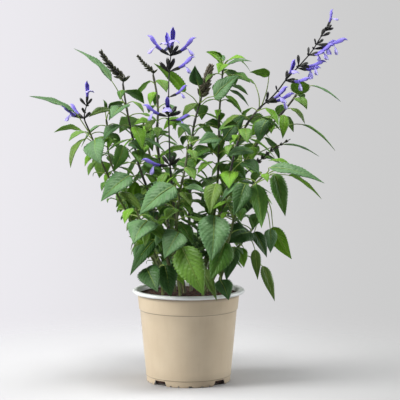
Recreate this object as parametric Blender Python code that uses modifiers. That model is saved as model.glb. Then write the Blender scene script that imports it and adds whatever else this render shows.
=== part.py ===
"""A potted sage: a nursery pot of soil with a blue-flowered salvia growing in it.

Metres, +Z up, origin at the centre of the pot's flat underside, the plant's front towards -Y.
The pot and soil are turned. The plant is laid out in millimetres from the middle of the soil's
surface, so it rides up and down with the pot, and three crown sizes stretch it. Leaves are grown
last: each one shifts by small steps until it is clear of everything that grew before it.
"""
import math

import bmesh
import bpy
from mathutils import Matrix, Vector
from mathutils.bvhtree import BVHTree

MM = 0.001

# pot
POT_HEIGHT = 0.140
RIM_DIAMETER = 0.170            # over the rolled lip
SHOULDER_DIAMETER = 0.1546      # just under the lip
FOOT_DIAMETER = 0.129
POT_WALL = 0.0018
LIP_HEIGHT = 0.0055
BAND_HEIGHT = 0.0300            # plain band between the lip's top and the step
STEP_DEPTH = 0.0014             # how far the wall steps in under the band
SKIRT_HEIGHT = 0.010
SKIRT_INSET = 0.0007
POT_STEPS = 48

# drain slots round the foot: one wide arch and five small slots in each quarter
DRAIN_QUARTERS = 4
DRAIN_TURN = math.radians(3.0)
ARCH_WIDTH = 0.028
ARCH_HEIGHT = 0.0078
SLOT_WIDTH = 0.0030
SLOT_HEIGHT = 0.0026
MIDDLE_SLOT_WIDTH = 0.0080
SLOT_ANGLES = (-27.0, -16.0, 0.0, 16.0, 27.0)
DRAIN_DEPTH = 0.0060            # how far a slot reaches in from the foot

# soil
SOIL_DROP = 0.007               # rim to soil surface
SOIL_DOME = 0.0015
COLLAR_DEPTH = 0.003            # how deep the level that the crown grows from lies in the soil

# plant
CROWN_WIDTH = 0.470             # leaf tip to flower tip
CROWN_DEPTH = 0.305
CROWN_HEIGHT = 0.431            # soil to the top flower's tip
STEM_FOOT_DIAMETER = 0.0054
STEM_TOP_DIAMETER = 0.0030
RACHIS_DIAMETER = 0.0022
PETIOLE_DIAMETER = 0.0018
PETIOLE_RISE = 0.08             # how far a leaf stalk arches up, for each unit of its length
LEAF_THICKNESS = 0.0010
LEAF_FOLD = 0.26                # rise of a leaf's edge for each unit of half width
CALYX_LENGTH = 0.014
CALYX_DIAMETER = 0.0058
COROLLA_LENGTH = 0.032
FIT_GAP = 0.0003
LEAF_CLEARANCE = 0.0009

# The layout below is drawn for a crown of this width, depth and height.
DRAWN_WIDTH = 0.467
DRAWN_DEPTH = 0.250
DRAWN_HEIGHT = 0.431

SOIL_LEVEL = POT_HEIGHT - SOIL_DROP
COLLAR_LEVEL = SOIL_LEVEL - COLLAR_DEPTH
STEM_STATIONS = 13
STEM_COLLAR = 0.004             # the upright stretch just over the soil

# Each stem's route from the soil up, in millimetres.
STEMS = {
    "stem_far_left": [(-34, 4, 0), (-46, 2, 40), (-65, -2, 77), (-86, -6, 117), (-107, -10, 156),
                      (-130, -14, 207), (-143, -14, 241), (-149, -14, 255)],
    "stem_left_leafy": [(-26, 20, 0), (-39, 22, 37), (-60, 26, 81), (-80, 30, 117), (-99, 34, 158),
                        (-116, 36, 192), (-123, 36, 220), (-122, 34, 240), (-125, 32, 266)],
    "stem_low_left": [(-38, -18, 0), (-44, -26, 46), (-57, -35, 85), (-68, -41, 112), (-77, -44, 138)],
    "stem_left_bud": [(-20, 6, 0), (-36, 10, 70), (-57, 14, 146), (-73, 14, 191), (-87, 12, 254),
                      (-94, 10, 291), (-98, 8, 320)],
    "stem_small_bud": [(-14, 24, 0), (-24, 34, 60), (-33, 42, 110), (-42, 48, 176), (-48, 48, 237),
                       (-47, 46, 290), (-54, 44, 333)],
    "stem_front": [(-12, -24, 0), (-18, -34, 60), (-18, -38, 106), (-12, -40, 161), (-4, -40, 199),
                   (0, -38, 232)],
    "stem_centre_flower": [(-6, -6, 0), (-14, -12, 60), (-18, -16, 110), (-23, -18, 150),
                           (-26, -18, 186)],
    "stem_centre_bud": [(4, 12, 0), (0, 15, 60), (1, 18, 110), (3, 22, 176), (5, 24, 232),
                        (10, 23, 265), (19, 20, 297)],
    "stem_tall_leafy": [(14, 2, 0), (27, 4, 62), (39, 6, 123), (44, 8, 176), (46, 8, 235),
                        (46, 8, 270), (49, 8, 310), (52, 8, 347)],
    "stem_right_flower": [(24, -10, 0), (36, -15, 62), (50, -18, 123), (60, -20, 176),
                          (69, -20, 220), (80, -20, 248), (94, -18, 271), (110, -16, 289)],
    "stem_right_branch": [(30, 10, 0), (38, 16, 77), (47, 20, 123), (58, 23, 153), (75, 26, 183),
                          (93, 28, 212), (111, 30, 238), (136, 30, 269), (160, 28, 297),
                          (167, 28, 308)],
    "stem_right_leafy": [(22, -28, 0), (44, -38, 45), (60, -46, 95), (69, -48, 129), (80, -50, 154),
                         (97, -51, 174), (115, -52, 190)],
    "stem_low_right": [(42, -6, 0), (58, -3, 52), (78, 2, 77), (96, 6, 100), (111, 10, 123),
                       (121, 12, 145)],
    "stem_back_left": [(-12, 42, 0), (-24, 62, 60), (-42, 82, 130), (-60, 96, 200), (-72, 104, 258)],
    "stem_back_right": [(18, 34, 0), (34, 54, 60), (54, 74, 130), (70, 90, 200), (84, 98, 262)],
}

# Flower spikes: the stem each one tops, its axis above that stem, and its flowers. A flower is
# open or calyx, then its share of the axis, the way it points, and its size.
FLOWER_SPIKES = {
    "flower_spike_centre": {
        "stem": "stem_centre_flower",
        "route": [(-27, -18, 201), (-29, -16, 271), (-29, -14, 310), (-28, -12, 341), (-24, -12, 377)],
        "flowers": [
            ("open", 0.07, (-0.95, -0.25, 0.12), 0.95),
            ("calyx", 0.07, (-0.70, 0.25, 0.68), 1.0),
            ("calyx", 0.07, (0.72, -0.10, 0.68), 1.0),
            ("calyx", 0.07, (0.25, 0.85, 0.40), 1.0),
            ("open", 0.45, (-0.93, -0.10, 0.36), 0.85),
            ("open", 0.46, (-0.05, -0.80, 0.60), 0.85),
            ("calyx", 0.45, (-0.45, 0.45, 0.78), 0.9),
            ("calyx", 0.45, (0.60, -0.25, 0.76), 1.0),
            ("calyx", 0.45, (0.88, 0.20, 0.42), 1.0),
            ("calyx", 0.82, (-0.60, -0.20, 0.78), 1.1),
            ("calyx", 0.82, (-0.08, -0.62, 0.78), 1.0),
            ("calyx", 0.82, (0.36, 0.35, 0.86), 1.1),
            ("open", 0.82, (0.88, -0.10, 0.46), 0.95),
            ("open", 0.96, (-0.78, 0.00, 0.62), 1.0),
            ("open", 0.97, (-0.20, -0.42, 0.88), 0.75),
            ("open", 0.98, (0.26, -0.50, 0.82), 0.85),
            ("calyx", 0.96, (0.62, 0.25, 0.74), 1.1),
            ("open", 0.97, (0.84, 0.10, 0.52), 1.0),
            ("open", 0.96, (-0.15, 0.80, 0.58), 0.9),
        ],
    },
    "flower_spike_right": {
        "stem": "stem_right_flower",
        "route": [(120, -16, 297), (133, -15, 311), (146, -13, 328), (166, -12, 349), (183, -12, 369),
                  (191, -12, 382), (206, -12, 406)],
        "flowers": [
            ("open", 0.08, (0.76, -0.36, 0.54), 0.9),
            ("open", 0.08, (0.95, -0.02, 0.24), 0.95),
            ("calyx", 0.08, (-0.35, 0.75, 0.45), 0.8),
            ("open", 0.34, (0.52, -0.50, 0.70), 0.85),
            ("open", 0.34, (0.95, -0.12, 0.20), 1.0),
            ("calyx", 0.34, (0.86, 0.45, 0.10), 1.0),
            ("calyx", 0.34, (0.00, 0.66, 0.72), 0.9),
            ("calyx", 0.54, (-0.10, -0.15, 0.98), 1.0),
            ("open", 0.54, (0.88, -0.22, 0.40), 0.95),
            ("open", 0.54, (0.84, 0.50, 0.10), 0.85),
            ("open", 0.64, (0.76, -0.42, 0.48), 0.7),
            ("calyx", 0.68, (0.96, 0.20, -0.05), 1.0),
            ("open", 0.79, (0.99, -0.06, 0.06), 1.02),
            ("calyx", 0.80, (0.78, 0.45, 0.42), 0.9),
            ("calyx", 0.81, (0.30, -0.55, 0.78), 0.9),
            ("calyx", 0.95, (0.93, -0.30, -0.10), 0.8),
            ("calyx", 0.96, (0.78, 0.35, 0.50), 0.8),
            ("open", 0.97, (0.40, -0.10, 0.90), 0.66),
        ],
    },
    "flower_spike_left": {
        "stem": "stem_far_left",
        "route": [(-154, -14, 268), (-153, -13, 280), (-150, -12, 291)],
        "flowers": [
            ("open", 0.40, (-0.90, -0.25, 0.32), 0.85),
            ("open", 0.42, (-0.70, 0.55, 0.45), 0.75),
            ("calyx", 0.40, (0.60, -0.40, 0.60), 0.8),
            ("calyx", 0.42, (0.50, 0.65, 0.55), 0.8),
            ("open", 0.92, (0.10, -0.20, 0.96), 0.80),
            ("calyx", 0.90, (-0.62, -0.10, 0.76), 0.8),
        ],
    },
}

# Bud spikes: the stem each one tops or branches from, the share of that stem, the tip, how wide
# the lowest whorl is, and how many whorls of bracts it has.
BUD_SPIKES = {
    "bud_spike_left": ("stem_left_bud", 1.0, (-132, 8, 369), 12.0, 7),
    "bud_spike_small": ("stem_small_bud", 1.0, (-78, 42, 363), 7.0, 5),
    "bud_spike_centre": ("stem_centre_bud", 1.0, (34, 16, 347), 12.0, 7),
    "bud_spike_right": ("stem_right_branch", 0.56, (153, 6, 237), 8.5, 6),
}

# Leaves, largest and outermost first: stem, share of that stem, blade's start, blade's tip,
# width, the way its upper side faces, and how far the blade arches that way. Millimetres.
LEAVES = [
    ("stem_far_left", 0.98, (-168, -12, 279), (-232, -30, 303), 24, (0.30, -0.25, 0.92), 5),
    ("stem_left_bud", 0.90, (-114, 12, 325), (-170, 20, 373), 26, (0.60, -0.30, 0.74), 6),
    ("stem_far_left", 0.94, (-160, 2, 250), (-202, 10, 247), 22, (0.00, 0.40, 0.90), 6),
    ("stem_far_left", 0.92, (-152, -32, 240), (-172, -48, 198), 20, (-0.80, -0.50, 0.35), 8),
    ("stem_far_left", 0.90, (-140, -40, 238), (-129, -66, 205), 32, (-0.20, -0.85, 0.45), 4),
    ("stem_left_leafy", 1.00, (-117, 12, 281), (-148, -8, 271), 22, (0.00, -0.35, 0.92), 4),
    ("stem_left_bud", 0.66, (-87, -8, 227), (-102, -22, 190), 22, (0.40, -0.80, 0.42), 4),
    ("stem_left_bud", 0.54, (-84, -22, 184), (-125, -46, 148), 36, (-0.25, -0.80, 0.55), 5),
    ("stem_left_leafy", 0.62, (-80, 10, 172), (-86, -2, 98), 24, (-0.30, 0.85, 0.10), 5),
    ("stem_front", 0.66, (-18, -56, 172), (-67, -80, 133), 42, (-0.20, -0.75, 0.62), 6),
    ("stem_low_left", 0.86, (-60, -58, 121), (-78, -98, 93), 44, (-0.10, -0.55, 0.82), 5),
    ("stem_low_left", 0.55, (-51, -50, 90), (-84, -74, 43), 25, (-0.50, -0.75, 0.36), 5),
    ("stem_low_left", 0.30, (-60, -62, 52), (-43, -94, 22), 34, (-0.30, -0.70, 0.62), 4),
    ("stem_front", 0.44, (-14, -62, 104), (-34, -88, 70), 36, (0.00, -0.85, 0.52), 5),
    ("stem_front", 0.34, (-12, -64, 82), (20, -88, 16), 44, (-0.10, -0.86, 0.48), 7),
    ("stem_right_leafy", 0.62, (39, -64, 129), (34, -92, 67), 46, (0.05, -0.90, 0.42), 6),
    ("stem_low_right", 0.72, (92, -12, 99), (57, -34, 84), 40, (0.00, -0.75, 0.62), 4),
    ("stem_right_leafy", 0.42, (60, -62, 90), (38, -84, 38), 36, (0.10, -0.90, 0.36), 5),
    ("stem_low_right", 0.98, (128, 12, 102), (156, 2, 54), 24, (-0.30, 0.80, 0.42), 4),
    ("stem_low_right", 0.45, (110, -28, 49), (128, -38, -2), 17, (0.30, -0.85, 0.40), 5),
    ("stem_right_leafy", 0.88, (104, -72, 176), (112, -80, 113), 25, (0.20, 0.90, 0.12), 5),
    ("stem_right_leafy", 0.97, (126, -58, 190), (141, -70, 129), 26, (0.30, -0.85, 0.34), 5),
    ("stem_right_leafy", 1.00, (119, -66, 200), (197, -76, 178), 28, (0.12, -0.48, 0.86), 6),
    ("stem_right_branch", 0.52, (150, -14, 184), (198, -22, 149), 20, (0.50, 0.30, 0.76), 4),
    ("stem_right_branch", 0.80, (173, 20, 258), (221, 12, 219), 20, (0.60, -0.12, 0.74), 4),
    ("stem_right_branch", 1.00, (188, 32, 317), (230, 26, 293), 17, (0.48, -0.14, 0.86), 3),
    ("stem_right_branch", 0.98, (170, 6, 305), (160, -20, 328), 28, (0.00, 0.60, 0.80), 3),
    ("stem_centre_bud", 0.97, (-5, 6, 308), (-51, -10, 351), 23, (0.50, 0.74, 0.44), 4),
    ("stem_centre_bud", 0.98, (29, -14, 302), (65, -30, 333), 29, (-0.40, -0.85, 0.36), 4),
    ("stem_tall_leafy", 1.00, (48, -2, 358), (28, -14, 369), 17, (0.30, 0.40, 0.85), 3),
    ("stem_tall_leafy", 0.68, (50, -8, 238), (83, -20, 276), 29, (-0.45, -0.80, 0.36), 4),
    ("stem_back_left", 0.55, (-70, 112, 150), (-118, 142, 118), 40, (-0.30, 0.60, 0.72), 6),
    ("stem_back_left", 1.00, (-82, 122, 262), (-112, 146, 238), 34, (-0.20, 0.62, 0.74), 5),
    ("stem_back_right", 0.55, (72, 108, 148), (112, 140, 110), 42, (0.30, 0.62, 0.70), 6),
    ("stem_back_right", 1.00, (92, 116, 266), (124, 138, 240), 34, (0.25, 0.62, 0.72), 5),
    ("stem_back_right", 0.30, (20, 104, 78), (-4, 152, 40), 42, (0.00, 0.72, 0.66), 6),
]

BLADE_SHARES = (0.0, 0.07, 0.18, 0.33, 0.50, 0.66, 0.80, 0.92, 1.0)
PETIOLE_SHARES = (0.0, 0.4, 0.75)
SHIFT_STEPS = (3, 6, 9, 12, 16, 20, 25, 30, 36, 42, 50, 60)
SHIFT_WAYS = ((0, -1, 0), (0, 1, 0), (0, 0, 1), (0, -1, 1), (0, 1, 1), (-1, 0, 0), (1, 0, 0))


def clear_scene():
    for thing in list(bpy.data.objects):
        bpy.data.objects.remove(thing)


def new_collection(name):
    collection = bpy.data.collections.new(name)
    bpy.context.scene.collection.children.link(collection)
    return collection


def new_material(name, colour, roughness):
    material = bpy.data.materials.new(name)
    material.use_nodes = True
    shader = material.node_tree.nodes["Principled BSDF"]
    shader.inputs["Base Color"].default_value = (*colour, 1.0)
    shader.inputs["Roughness"].default_value = roughness
    shader.inputs["Metallic"].default_value = 0.0
    return material


def make_cutter(thing):
    thing.hide_render = True
    thing.display_type = "WIRE"


def smooth_round(mesh):
    mesh.shade_smooth()
    mesh.set_sharp_from_angle(angle=math.radians(35))


def turned(name, profile, collection, material):
    """Turn a profile of (radius, height) pairs that runs down its outer side."""
    mesh = bpy.data.meshes.new(name)
    edges = [(i, i + 1) for i in range(len(profile) - 1)]
    mesh.from_pydata([(radius, 0.0, height) for radius, height in profile], edges, [])
    mesh.materials.append(material)
    thing = bpy.data.objects.new(name, mesh)
    collection.objects.link(thing)
    screw = thing.modifiers.new("turn", "SCREW")
    screw.steps = POT_STEPS
    screw.render_steps = POT_STEPS
    screw.use_merge_vertices = True
    screw.merge_threshold = 0.00005
    screw.use_smooth_shade = True
    return thing


# ---- pot and soil ----

def wall_radius(height):
    """Outer radius of the pot's wall between its foot and its shoulder."""
    shoulder = POT_HEIGHT - LIP_HEIGHT
    share = (height - SKIRT_HEIGHT) / (shoulder - SKIRT_HEIGHT)
    radius = FOOT_DIAMETER / 2 + share * (SHOULDER_DIAMETER - FOOT_DIAMETER) / 2
    if height < POT_HEIGHT - BAND_HEIGHT:
        radius -= STEP_DEPTH * max(share, 0.0)
    return radius


def pot_profile():
    step = POT_HEIGHT - BAND_HEIGHT
    shoulder = POT_HEIGHT - LIP_HEIGHT
    foot = FOOT_DIAMETER / 2
    rim = RIM_DIAMETER / 2
    below_step = wall_radius(step - 0.0005)
    inner_top = SHOULDER_DIAMETER / 2 - POT_WALL
    inside = [
        (0.0, POT_WALL),
        (foot - SKIRT_INSET - POT_WALL - 0.0015, POT_WALL),
        (foot - SKIRT_INSET - POT_WALL, POT_WALL + 0.0015),
        (foot - POT_WALL, SKIRT_HEIGHT + 0.001),
        (below_step - POT_WALL, step - 0.001),
        (wall_radius(step) - POT_WALL, step + 0.001),
        (inner_top, shoulder),
        (inner_top + 0.0012, POT_HEIGHT - 0.0012),
        (inner_top + 0.0026, POT_HEIGHT),
    ]
    outside = [
        (rim - 0.0022, POT_HEIGHT),
        (rim - 0.0006, POT_HEIGHT - 0.0009),
        (rim, POT_HEIGHT - 0.0024),
        (rim - 0.0004, shoulder + 0.0008),
        (rim - 0.0018, shoulder),
        (SHOULDER_DIAMETER / 2 + 0.0010, shoulder),
        (SHOULDER_DIAMETER / 2, shoulder - 0.0012),
        (wall_radius(step), step),
        (below_step, step - 0.0012),
        (foot, SKIRT_HEIGHT),
        (foot - SKIRT_INSET, SKIRT_HEIGHT - 0.0008),
        (foot - SKIRT_INSET, 0.0012),
        (foot - SKIRT_INSET - 0.0012, 0.0),
        (0.0, 0.0),
    ]
    return inside + outside


def add_wedge(mesh, angle, width, height, taper):
    """A block set into the pot's foot at an angle, narrower at its top by the taper."""
    outer = FOOT_DIAMETER / 2 + 0.003
    inner = FOOT_DIAMETER / 2 - DRAIN_DEPTH
    made = bmesh.ops.create_cube(mesh, size=1.0)["verts"]
    for vert in made:
        top = vert.co.z > 0
        half = width / 2 * (taper if top else 1.0)
        vert.co.x = outer if vert.co.x > 0 else inner
        vert.co.y = half if vert.co.y > 0 else -half
        vert.co.z = height if top else -0.002
    bmesh.ops.rotate(mesh, verts=made, cent=(0, 0, 0), matrix=Matrix.Rotation(angle, 3, "Z"))


def drain_cutters(collection):
    mesh = bmesh.new()
    quarter = 2 * math.pi / DRAIN_QUARTERS
    front = -math.pi / 2
    for index in range(DRAIN_QUARTERS):
        middle = front + DRAIN_TURN + index * quarter
        add_wedge(mesh, middle + quarter / 2, ARCH_WIDTH, ARCH_HEIGHT, 0.68)
        for degrees in SLOT_ANGLES:
            width = MIDDLE_SLOT_WIDTH if degrees == 0.0 else SLOT_WIDTH
            add_wedge(mesh, middle + math.radians(degrees), width, SLOT_HEIGHT, 0.6)
    data = bpy.data.meshes.new("drain_cutters")
    mesh.to_mesh(data)
    mesh.free()
    cutter = bpy.data.objects.new("drain_cutters", data)
    collection.objects.link(cutter)
    make_cutter(cutter)
    return cutter


def make_pot(parts, cutters):
    plastic = new_material("beige_plastic", (0.66, 0.56, 0.42), 0.45)
    pot = turned("pot", pot_profile(), parts, plastic)
    cut = pot.modifiers.new("drain_slots", "BOOLEAN")
    cut.operation = "DIFFERENCE"
    cut.object = drain_cutters(cutters)
    return pot


def make_soil(parts):
    earth = new_material("potting_soil", (0.10, 0.045, 0.03), 0.95)
    step = POT_HEIGHT - BAND_HEIGHT
    gap = POT_WALL + FIT_GAP
    foot = FOOT_DIAMETER / 2
    below_step = wall_radius(step - 0.0005)
    top_radius = wall_radius(SOIL_LEVEL) - gap
    profile = [
        (0.0, SOIL_LEVEL + SOIL_DOME),
        (top_radius * 0.55, SOIL_LEVEL + SOIL_DOME * 0.7),
        (top_radius * 0.90, SOIL_LEVEL),
        (top_radius, SOIL_LEVEL - 0.002),
        (wall_radius(step + 0.0015) - gap, step + 0.0015),
        (below_step - gap, step - 0.0015),
        (foot - gap, SKIRT_HEIGHT + 0.0012),
        (foot - SKIRT_INSET - gap, POT_WALL + FIT_GAP + 0.0020),
        (foot - SKIRT_INSET - gap - 0.0020, POT_WALL + FIT_GAP),
        (0.0, POT_WALL + FIT_GAP),
    ]
    return turned("soil", profile, parts, earth)


# ---- routes ----

def plant_point(place):
    """A layout point in millimetres, stretched to the crown and stood on its collar level."""
    x, y, z = place
    return Vector((x * MM * CROWN_WIDTH / DRAWN_WIDTH,
                   y * MM * CROWN_DEPTH / DRAWN_DEPTH,
                   z * MM * CROWN_HEIGHT / DRAWN_HEIGHT + COLLAR_LEVEL))


def smooth_point(points, share):
    """A point on the Catmull-Rom curve through the points, at a share of their number."""
    last = len(points) - 1
    place = min(max(share, 0.0), 1.0) * last
    index = min(int(place), last - 1)
    t = place - index
    b, c = points[index], points[index + 1]
    a = points[index - 1] if index > 0 else b * 2 - c
    d = points[index + 2] if index + 2 <= last else c * 2 - b
    return 0.5 * ((2 * b) + (c - a) * t + (2 * a - 5 * b + 4 * c - d) * t * t
                  + (3 * b - a - 3 * c + d) * t * t * t)


def smooth_route(points, count):
    """Evenly spaced points along the curve, by its length."""
    fine = [smooth_point(points, i / 200) for i in range(201)]
    lengths = [0.0]
    for before, after in zip(fine, fine[1:]):
        lengths.append(lengths[-1] + (after - before).length)
    route = []
    at = 0
    for i in range(count):
        target = lengths[-1] * i / (count - 1)
        while at < 199 and lengths[at + 1] < target:
            at += 1
        span = lengths[at + 1] - lengths[at]
        t = (target - lengths[at]) / span if span else 0.0
        route.append(fine[at].lerp(fine[at + 1], min(t, 1.0)))
    return route


def route_at(route, share):
    """Point and direction at a share of an evenly spaced route."""
    place = min(max(share, 0.0), 1.0) * (len(route) - 1)
    index = min(int(place), len(route) - 2)
    ahead = (route[index + 1] - route[index]).normalized()
    return route[index].lerp(route[index + 1], place - index), ahead


def tube(name, route, diameters, collection, material):
    """A tapering tube along a route, as a curve with filled caps."""
    curve = bpy.data.curves.new(name, "CURVE")
    curve.dimensions = "3D"
    curve.bevel_depth = diameters[0] / 2
    curve.bevel_resolution = 0
    curve.use_fill_caps = True
    spline = curve.splines.new("POLY")
    spline.points.add(len(route) - 1)
    for i, place in enumerate(route):
        share = i / (len(route) - 1)
        spline.points[i].co = (*place, 1.0)
        spline.points[i].radius = 1 + share * (diameters[1] / diameters[0] - 1)
    curve.materials.append(material)
    thing = bpy.data.objects.new(name, curve)
    collection.objects.link(thing)
    return thing


def tube_as_mesh(curve_thing, collection):
    """The same tube as a mesh with welded caps, so that it can be joined to others."""
    graph = bpy.context.evaluated_depsgraph_get()
    data = bpy.data.meshes.new_from_object(curve_thing.evaluated_get(graph))
    name = curve_thing.name
    place = curve_thing.matrix_world.copy()
    bpy.data.objects.remove(curve_thing)
    mesh = bmesh.new()
    mesh.from_mesh(data)
    bmesh.ops.remove_doubles(mesh, verts=mesh.verts, dist=0.000005)
    bmesh.ops.recalc_face_normals(mesh, faces=mesh.faces)
    mesh.to_mesh(data)
    mesh.free()
    thing = bpy.data.objects.new(name, data)
    thing.matrix_world = place
    collection.objects.link(thing)
    return thing


# ---- flowers and buds ----

def add_cone(mesh, start, end, start_radius, end_radius, sides=6, flat=1.0, flat_way=None):
    """A tapered round block from start to end, squashed by flat along flat_way."""
    ahead = end - start
    made = bmesh.ops.create_cone(mesh, cap_ends=True, segments=sides, radius1=start_radius,
                                 radius2=end_radius, depth=ahead.length)["verts"]
    along = ahead.normalized()
    up = flat_way if flat_way is not None else Vector((0.31, 0.17, 0.93))
    across = along.cross(up).normalized()
    up = across.cross(along)
    frame = Matrix((across, up, along)).transposed().to_4x4()
    squash = Matrix.Diagonal((1.0, flat, 1.0, 1.0))
    middle = Matrix.Translation((start + end) / 2)
    bmesh.ops.transform(mesh, matrix=middle @ frame @ squash, verts=made)


def add_flower(mesh, start, way, kind, size):
    """A ribbed calyx, and on an open flower a tube, a hood above and a lip below."""
    way = Vector(way).normalized()
    side = way.cross(Vector((0, 0, 1)))
    side = side.normalized() if side.length > 0.2 else Vector((1, 0, 0))
    lift = side.cross(way)
    calyx = CALYX_LENGTH * size
    width = CALYX_DIAMETER * size / 2
    neck = start + way * calyx * 0.30
    mouth = start + way * calyx * 1.15
    add_cone(mesh, start, neck, RACHIS_DIAMETER * 0.36, width * 0.6)
    add_cone(mesh, neck - way * 0.0005, mouth, width * 0.72, width)
    if kind == "calyx":
        return
    corolla = COROLLA_LENGTH * size
    throat = mouth + way * corolla * 0.42
    hood = throat + (way * 0.92 + lift * 0.38) * corolla * 0.52
    lip = throat + (way * 0.55 - lift * 0.80) * corolla * 0.36
    add_cone(mesh, mouth - way * 0.003, throat, width * 0.55, width * 0.78)
    add_cone(mesh, throat - way * 0.0025, hood, width * 0.72, width * 0.22, 6, 0.8, lift)
    add_cone(mesh, throat - way * 0.0035, lip, width * 0.50, width * 0.95, 6, 0.45, lift)


def joined_spike(name, rachis, blooms, parts, cutters, material):
    """One body of an axis and the flowers or bracts that grow out of it."""
    data = bpy.data.meshes.new(name + "_blooms")
    blooms.to_mesh(data)
    blooms.free()
    grown = bpy.data.objects.new(name + "_blooms", data)
    cutters.objects.link(grown)
    make_cutter(grown)
    spike = tube_as_mesh(rachis, parts)
    spike.data.materials.clear()
    spike.data.materials.append(material)
    join = spike.modifiers.new("join_blooms", "BOOLEAN")
    join.operation = "UNION"
    join.object = grown
    join.use_self = True
    return spike


def make_flower_spike(name, plan, stem_route, parts, cutters, material):
    tip, ahead = route_at(stem_route, 1.0)
    points = [tip + ahead * FIT_GAP] + [plant_point(place) for place in plan["route"]]
    route = smooth_route(points, 4 + 2 * len(plan["route"]))
    rachis = tube(name, route, (RACHIS_DIAMETER, RACHIS_DIAMETER * 0.8), parts, material)
    blooms = bmesh.new()
    for kind, share, way, size in plan["flowers"]:
        start, _ = route_at(route, share)
        add_flower(blooms, start, way, kind, size)
    return joined_spike(name, rachis, blooms, parts, cutters, material)


def make_bud_spike(name, plan, stem_route, parts, cutters, material):
    _, share, tip, width, whorls = plan
    start, ahead = route_at(stem_route, share)
    end = plant_point(tip)
    if share < 1.0:
        aside = (end - start) - ahead * (end - start).dot(ahead)
        ahead = aside.normalized()
        start = start + ahead * stem_radius(share)
    start = start + ahead * FIT_GAP
    way = (end - start).normalized()
    bend = start + ahead * (end - start).length * 0.12
    route = smooth_route([start, bend, start.lerp(end, 0.6), end], 8)
    rachis = tube(name, route, (RACHIS_DIAMETER, RACHIS_DIAMETER * 0.6), parts, material)
    blooms = bmesh.new()
    first = 0.30 if share < 1.0 else 0.10
    for i in range(whorls):
        at = first + (0.97 - first) * i / whorls
        radius = width * MM / 2 * (1.0 - 0.72 * i / whorls)
        foot, along = route_at(route, at)
        length = (end - start).length * (1.25 - 0.3 * i / whorls) / whorls
        add_cone(blooms, foot, foot + along * length, radius * 0.45, radius, 7)
    return joined_spike(name, rachis, blooms, parts, cutters, material)


# ---- leaves ----

def stem_radius(share):
    return (STEM_FOOT_DIAMETER + share * (STEM_TOP_DIAMETER - STEM_FOOT_DIAMETER)) / 2


def leaf_spine(stem_route, row, shift):
    """Points through the leaf stalk and the blade, and how many of them the stalk has."""
    _, share, base, tip, _, face, arch = row
    node, ahead = route_at(stem_route, share)
    start = plant_point(base) + shift
    end = plant_point(tip) + shift
    out = (start - node) - ahead * (start - node).dot(ahead)
    out = out.normalized()
    foot = node + out * (stem_radius(share) + FIT_GAP)
    bow = Vector(face).normalized() * arch * MM
    knots = [foot, foot.lerp(start, 0.5) + ahead * (start - foot).length * PETIOLE_RISE, start,
             start.lerp(end, 0.35) + bow, start.lerp(end, 0.7) + bow * 0.8, end]
    stalk = [smooth_point(knots, 0.4 * s) for s in PETIOLE_SHARES]
    stalk[0] = knots[0]
    blade = [smooth_point(knots, 0.4 + 0.6 * s) for s in BLADE_SHARES]
    return stalk, blade


def leaf_sections(stalk, blade, row, extra):
    """Four corners at each station: left edge, upper middle, right edge, lower middle."""
    _, _, _, _, width, face, _ = row
    places = stalk + blade
    side = (blade[-1] - blade[0]).cross(Vector(face)).normalized()
    sections = []
    for i in reversed(range(len(places))):
        place = places[i]
        ahead = places[min(i + 1, len(places) - 1)] - places[max(i - 1, 0)]
        ahead.normalize()
        if i < len(stalk):
            side = (side - ahead * side.dot(ahead)).normalized()
            half, thick, rise = PETIOLE_DIAMETER / 2 + extra, PETIOLE_DIAMETER / 2 + extra, 0.0
        else:
            share = BLADE_SHARES[i - len(stalk)]
            outline = math.sin(math.pi * share ** 0.55) if 0 < share < 1 else 0.0
            half = max(width * MM / 2 * outline, 0.0009 * (1 - share) + 0.0003) + extra
            thick = LEAF_THICKNESS / 2 * (1 - 0.5 * share) + extra
            rise = LEAF_FOLD * half
        up = side.cross(ahead).normalized()
        sections.append([place - side * half + up * rise, place + up * thick,
                         place + side * half + up * rise, place - up * thick])
    sections.reverse()
    return sections


def loft(sections):
    """A closed skin over rings of equal count."""
    mesh = bmesh.new()
    rings = [[mesh.verts.new(corner) for corner in section] for section in sections]
    count = len(rings[0])
    for ring, following in zip(rings, rings[1:]):
        for i in range(count):
            j = (i + 1) % count
            mesh.faces.new((ring[i], ring[j], following[j]))
            mesh.faces.new((ring[i], following[j], following[i]))
    mesh.faces.new(list(reversed(rings[0])))
    mesh.faces.new(rings[-1])
    return mesh


def shifts():
    """No shift first, then longer and longer ones, towards the front, the back, up and aside."""
    yield Vector((0, 0, 0))
    for step in SHIFT_STEPS:
        for way in SHIFT_WAYS:
            yield Vector(way).normalized() * step * MM


def tree_of(thing):
    graph = bpy.context.evaluated_depsgraph_get()
    data = bpy.data.meshes.new_from_object(thing.evaluated_get(graph))
    mesh = bmesh.new()
    mesh.from_mesh(data)
    mesh.transform(thing.matrix_world)
    bmesh.ops.triangulate(mesh, faces=mesh.faces)
    tree = BVHTree.FromBMesh(mesh)
    mesh.free()
    bpy.data.meshes.remove(data)
    return tree


def is_clear(mesh, trees):
    tree = BVHTree.FromBMesh(mesh)
    return not any(tree.overlap(other) for other in trees)


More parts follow.
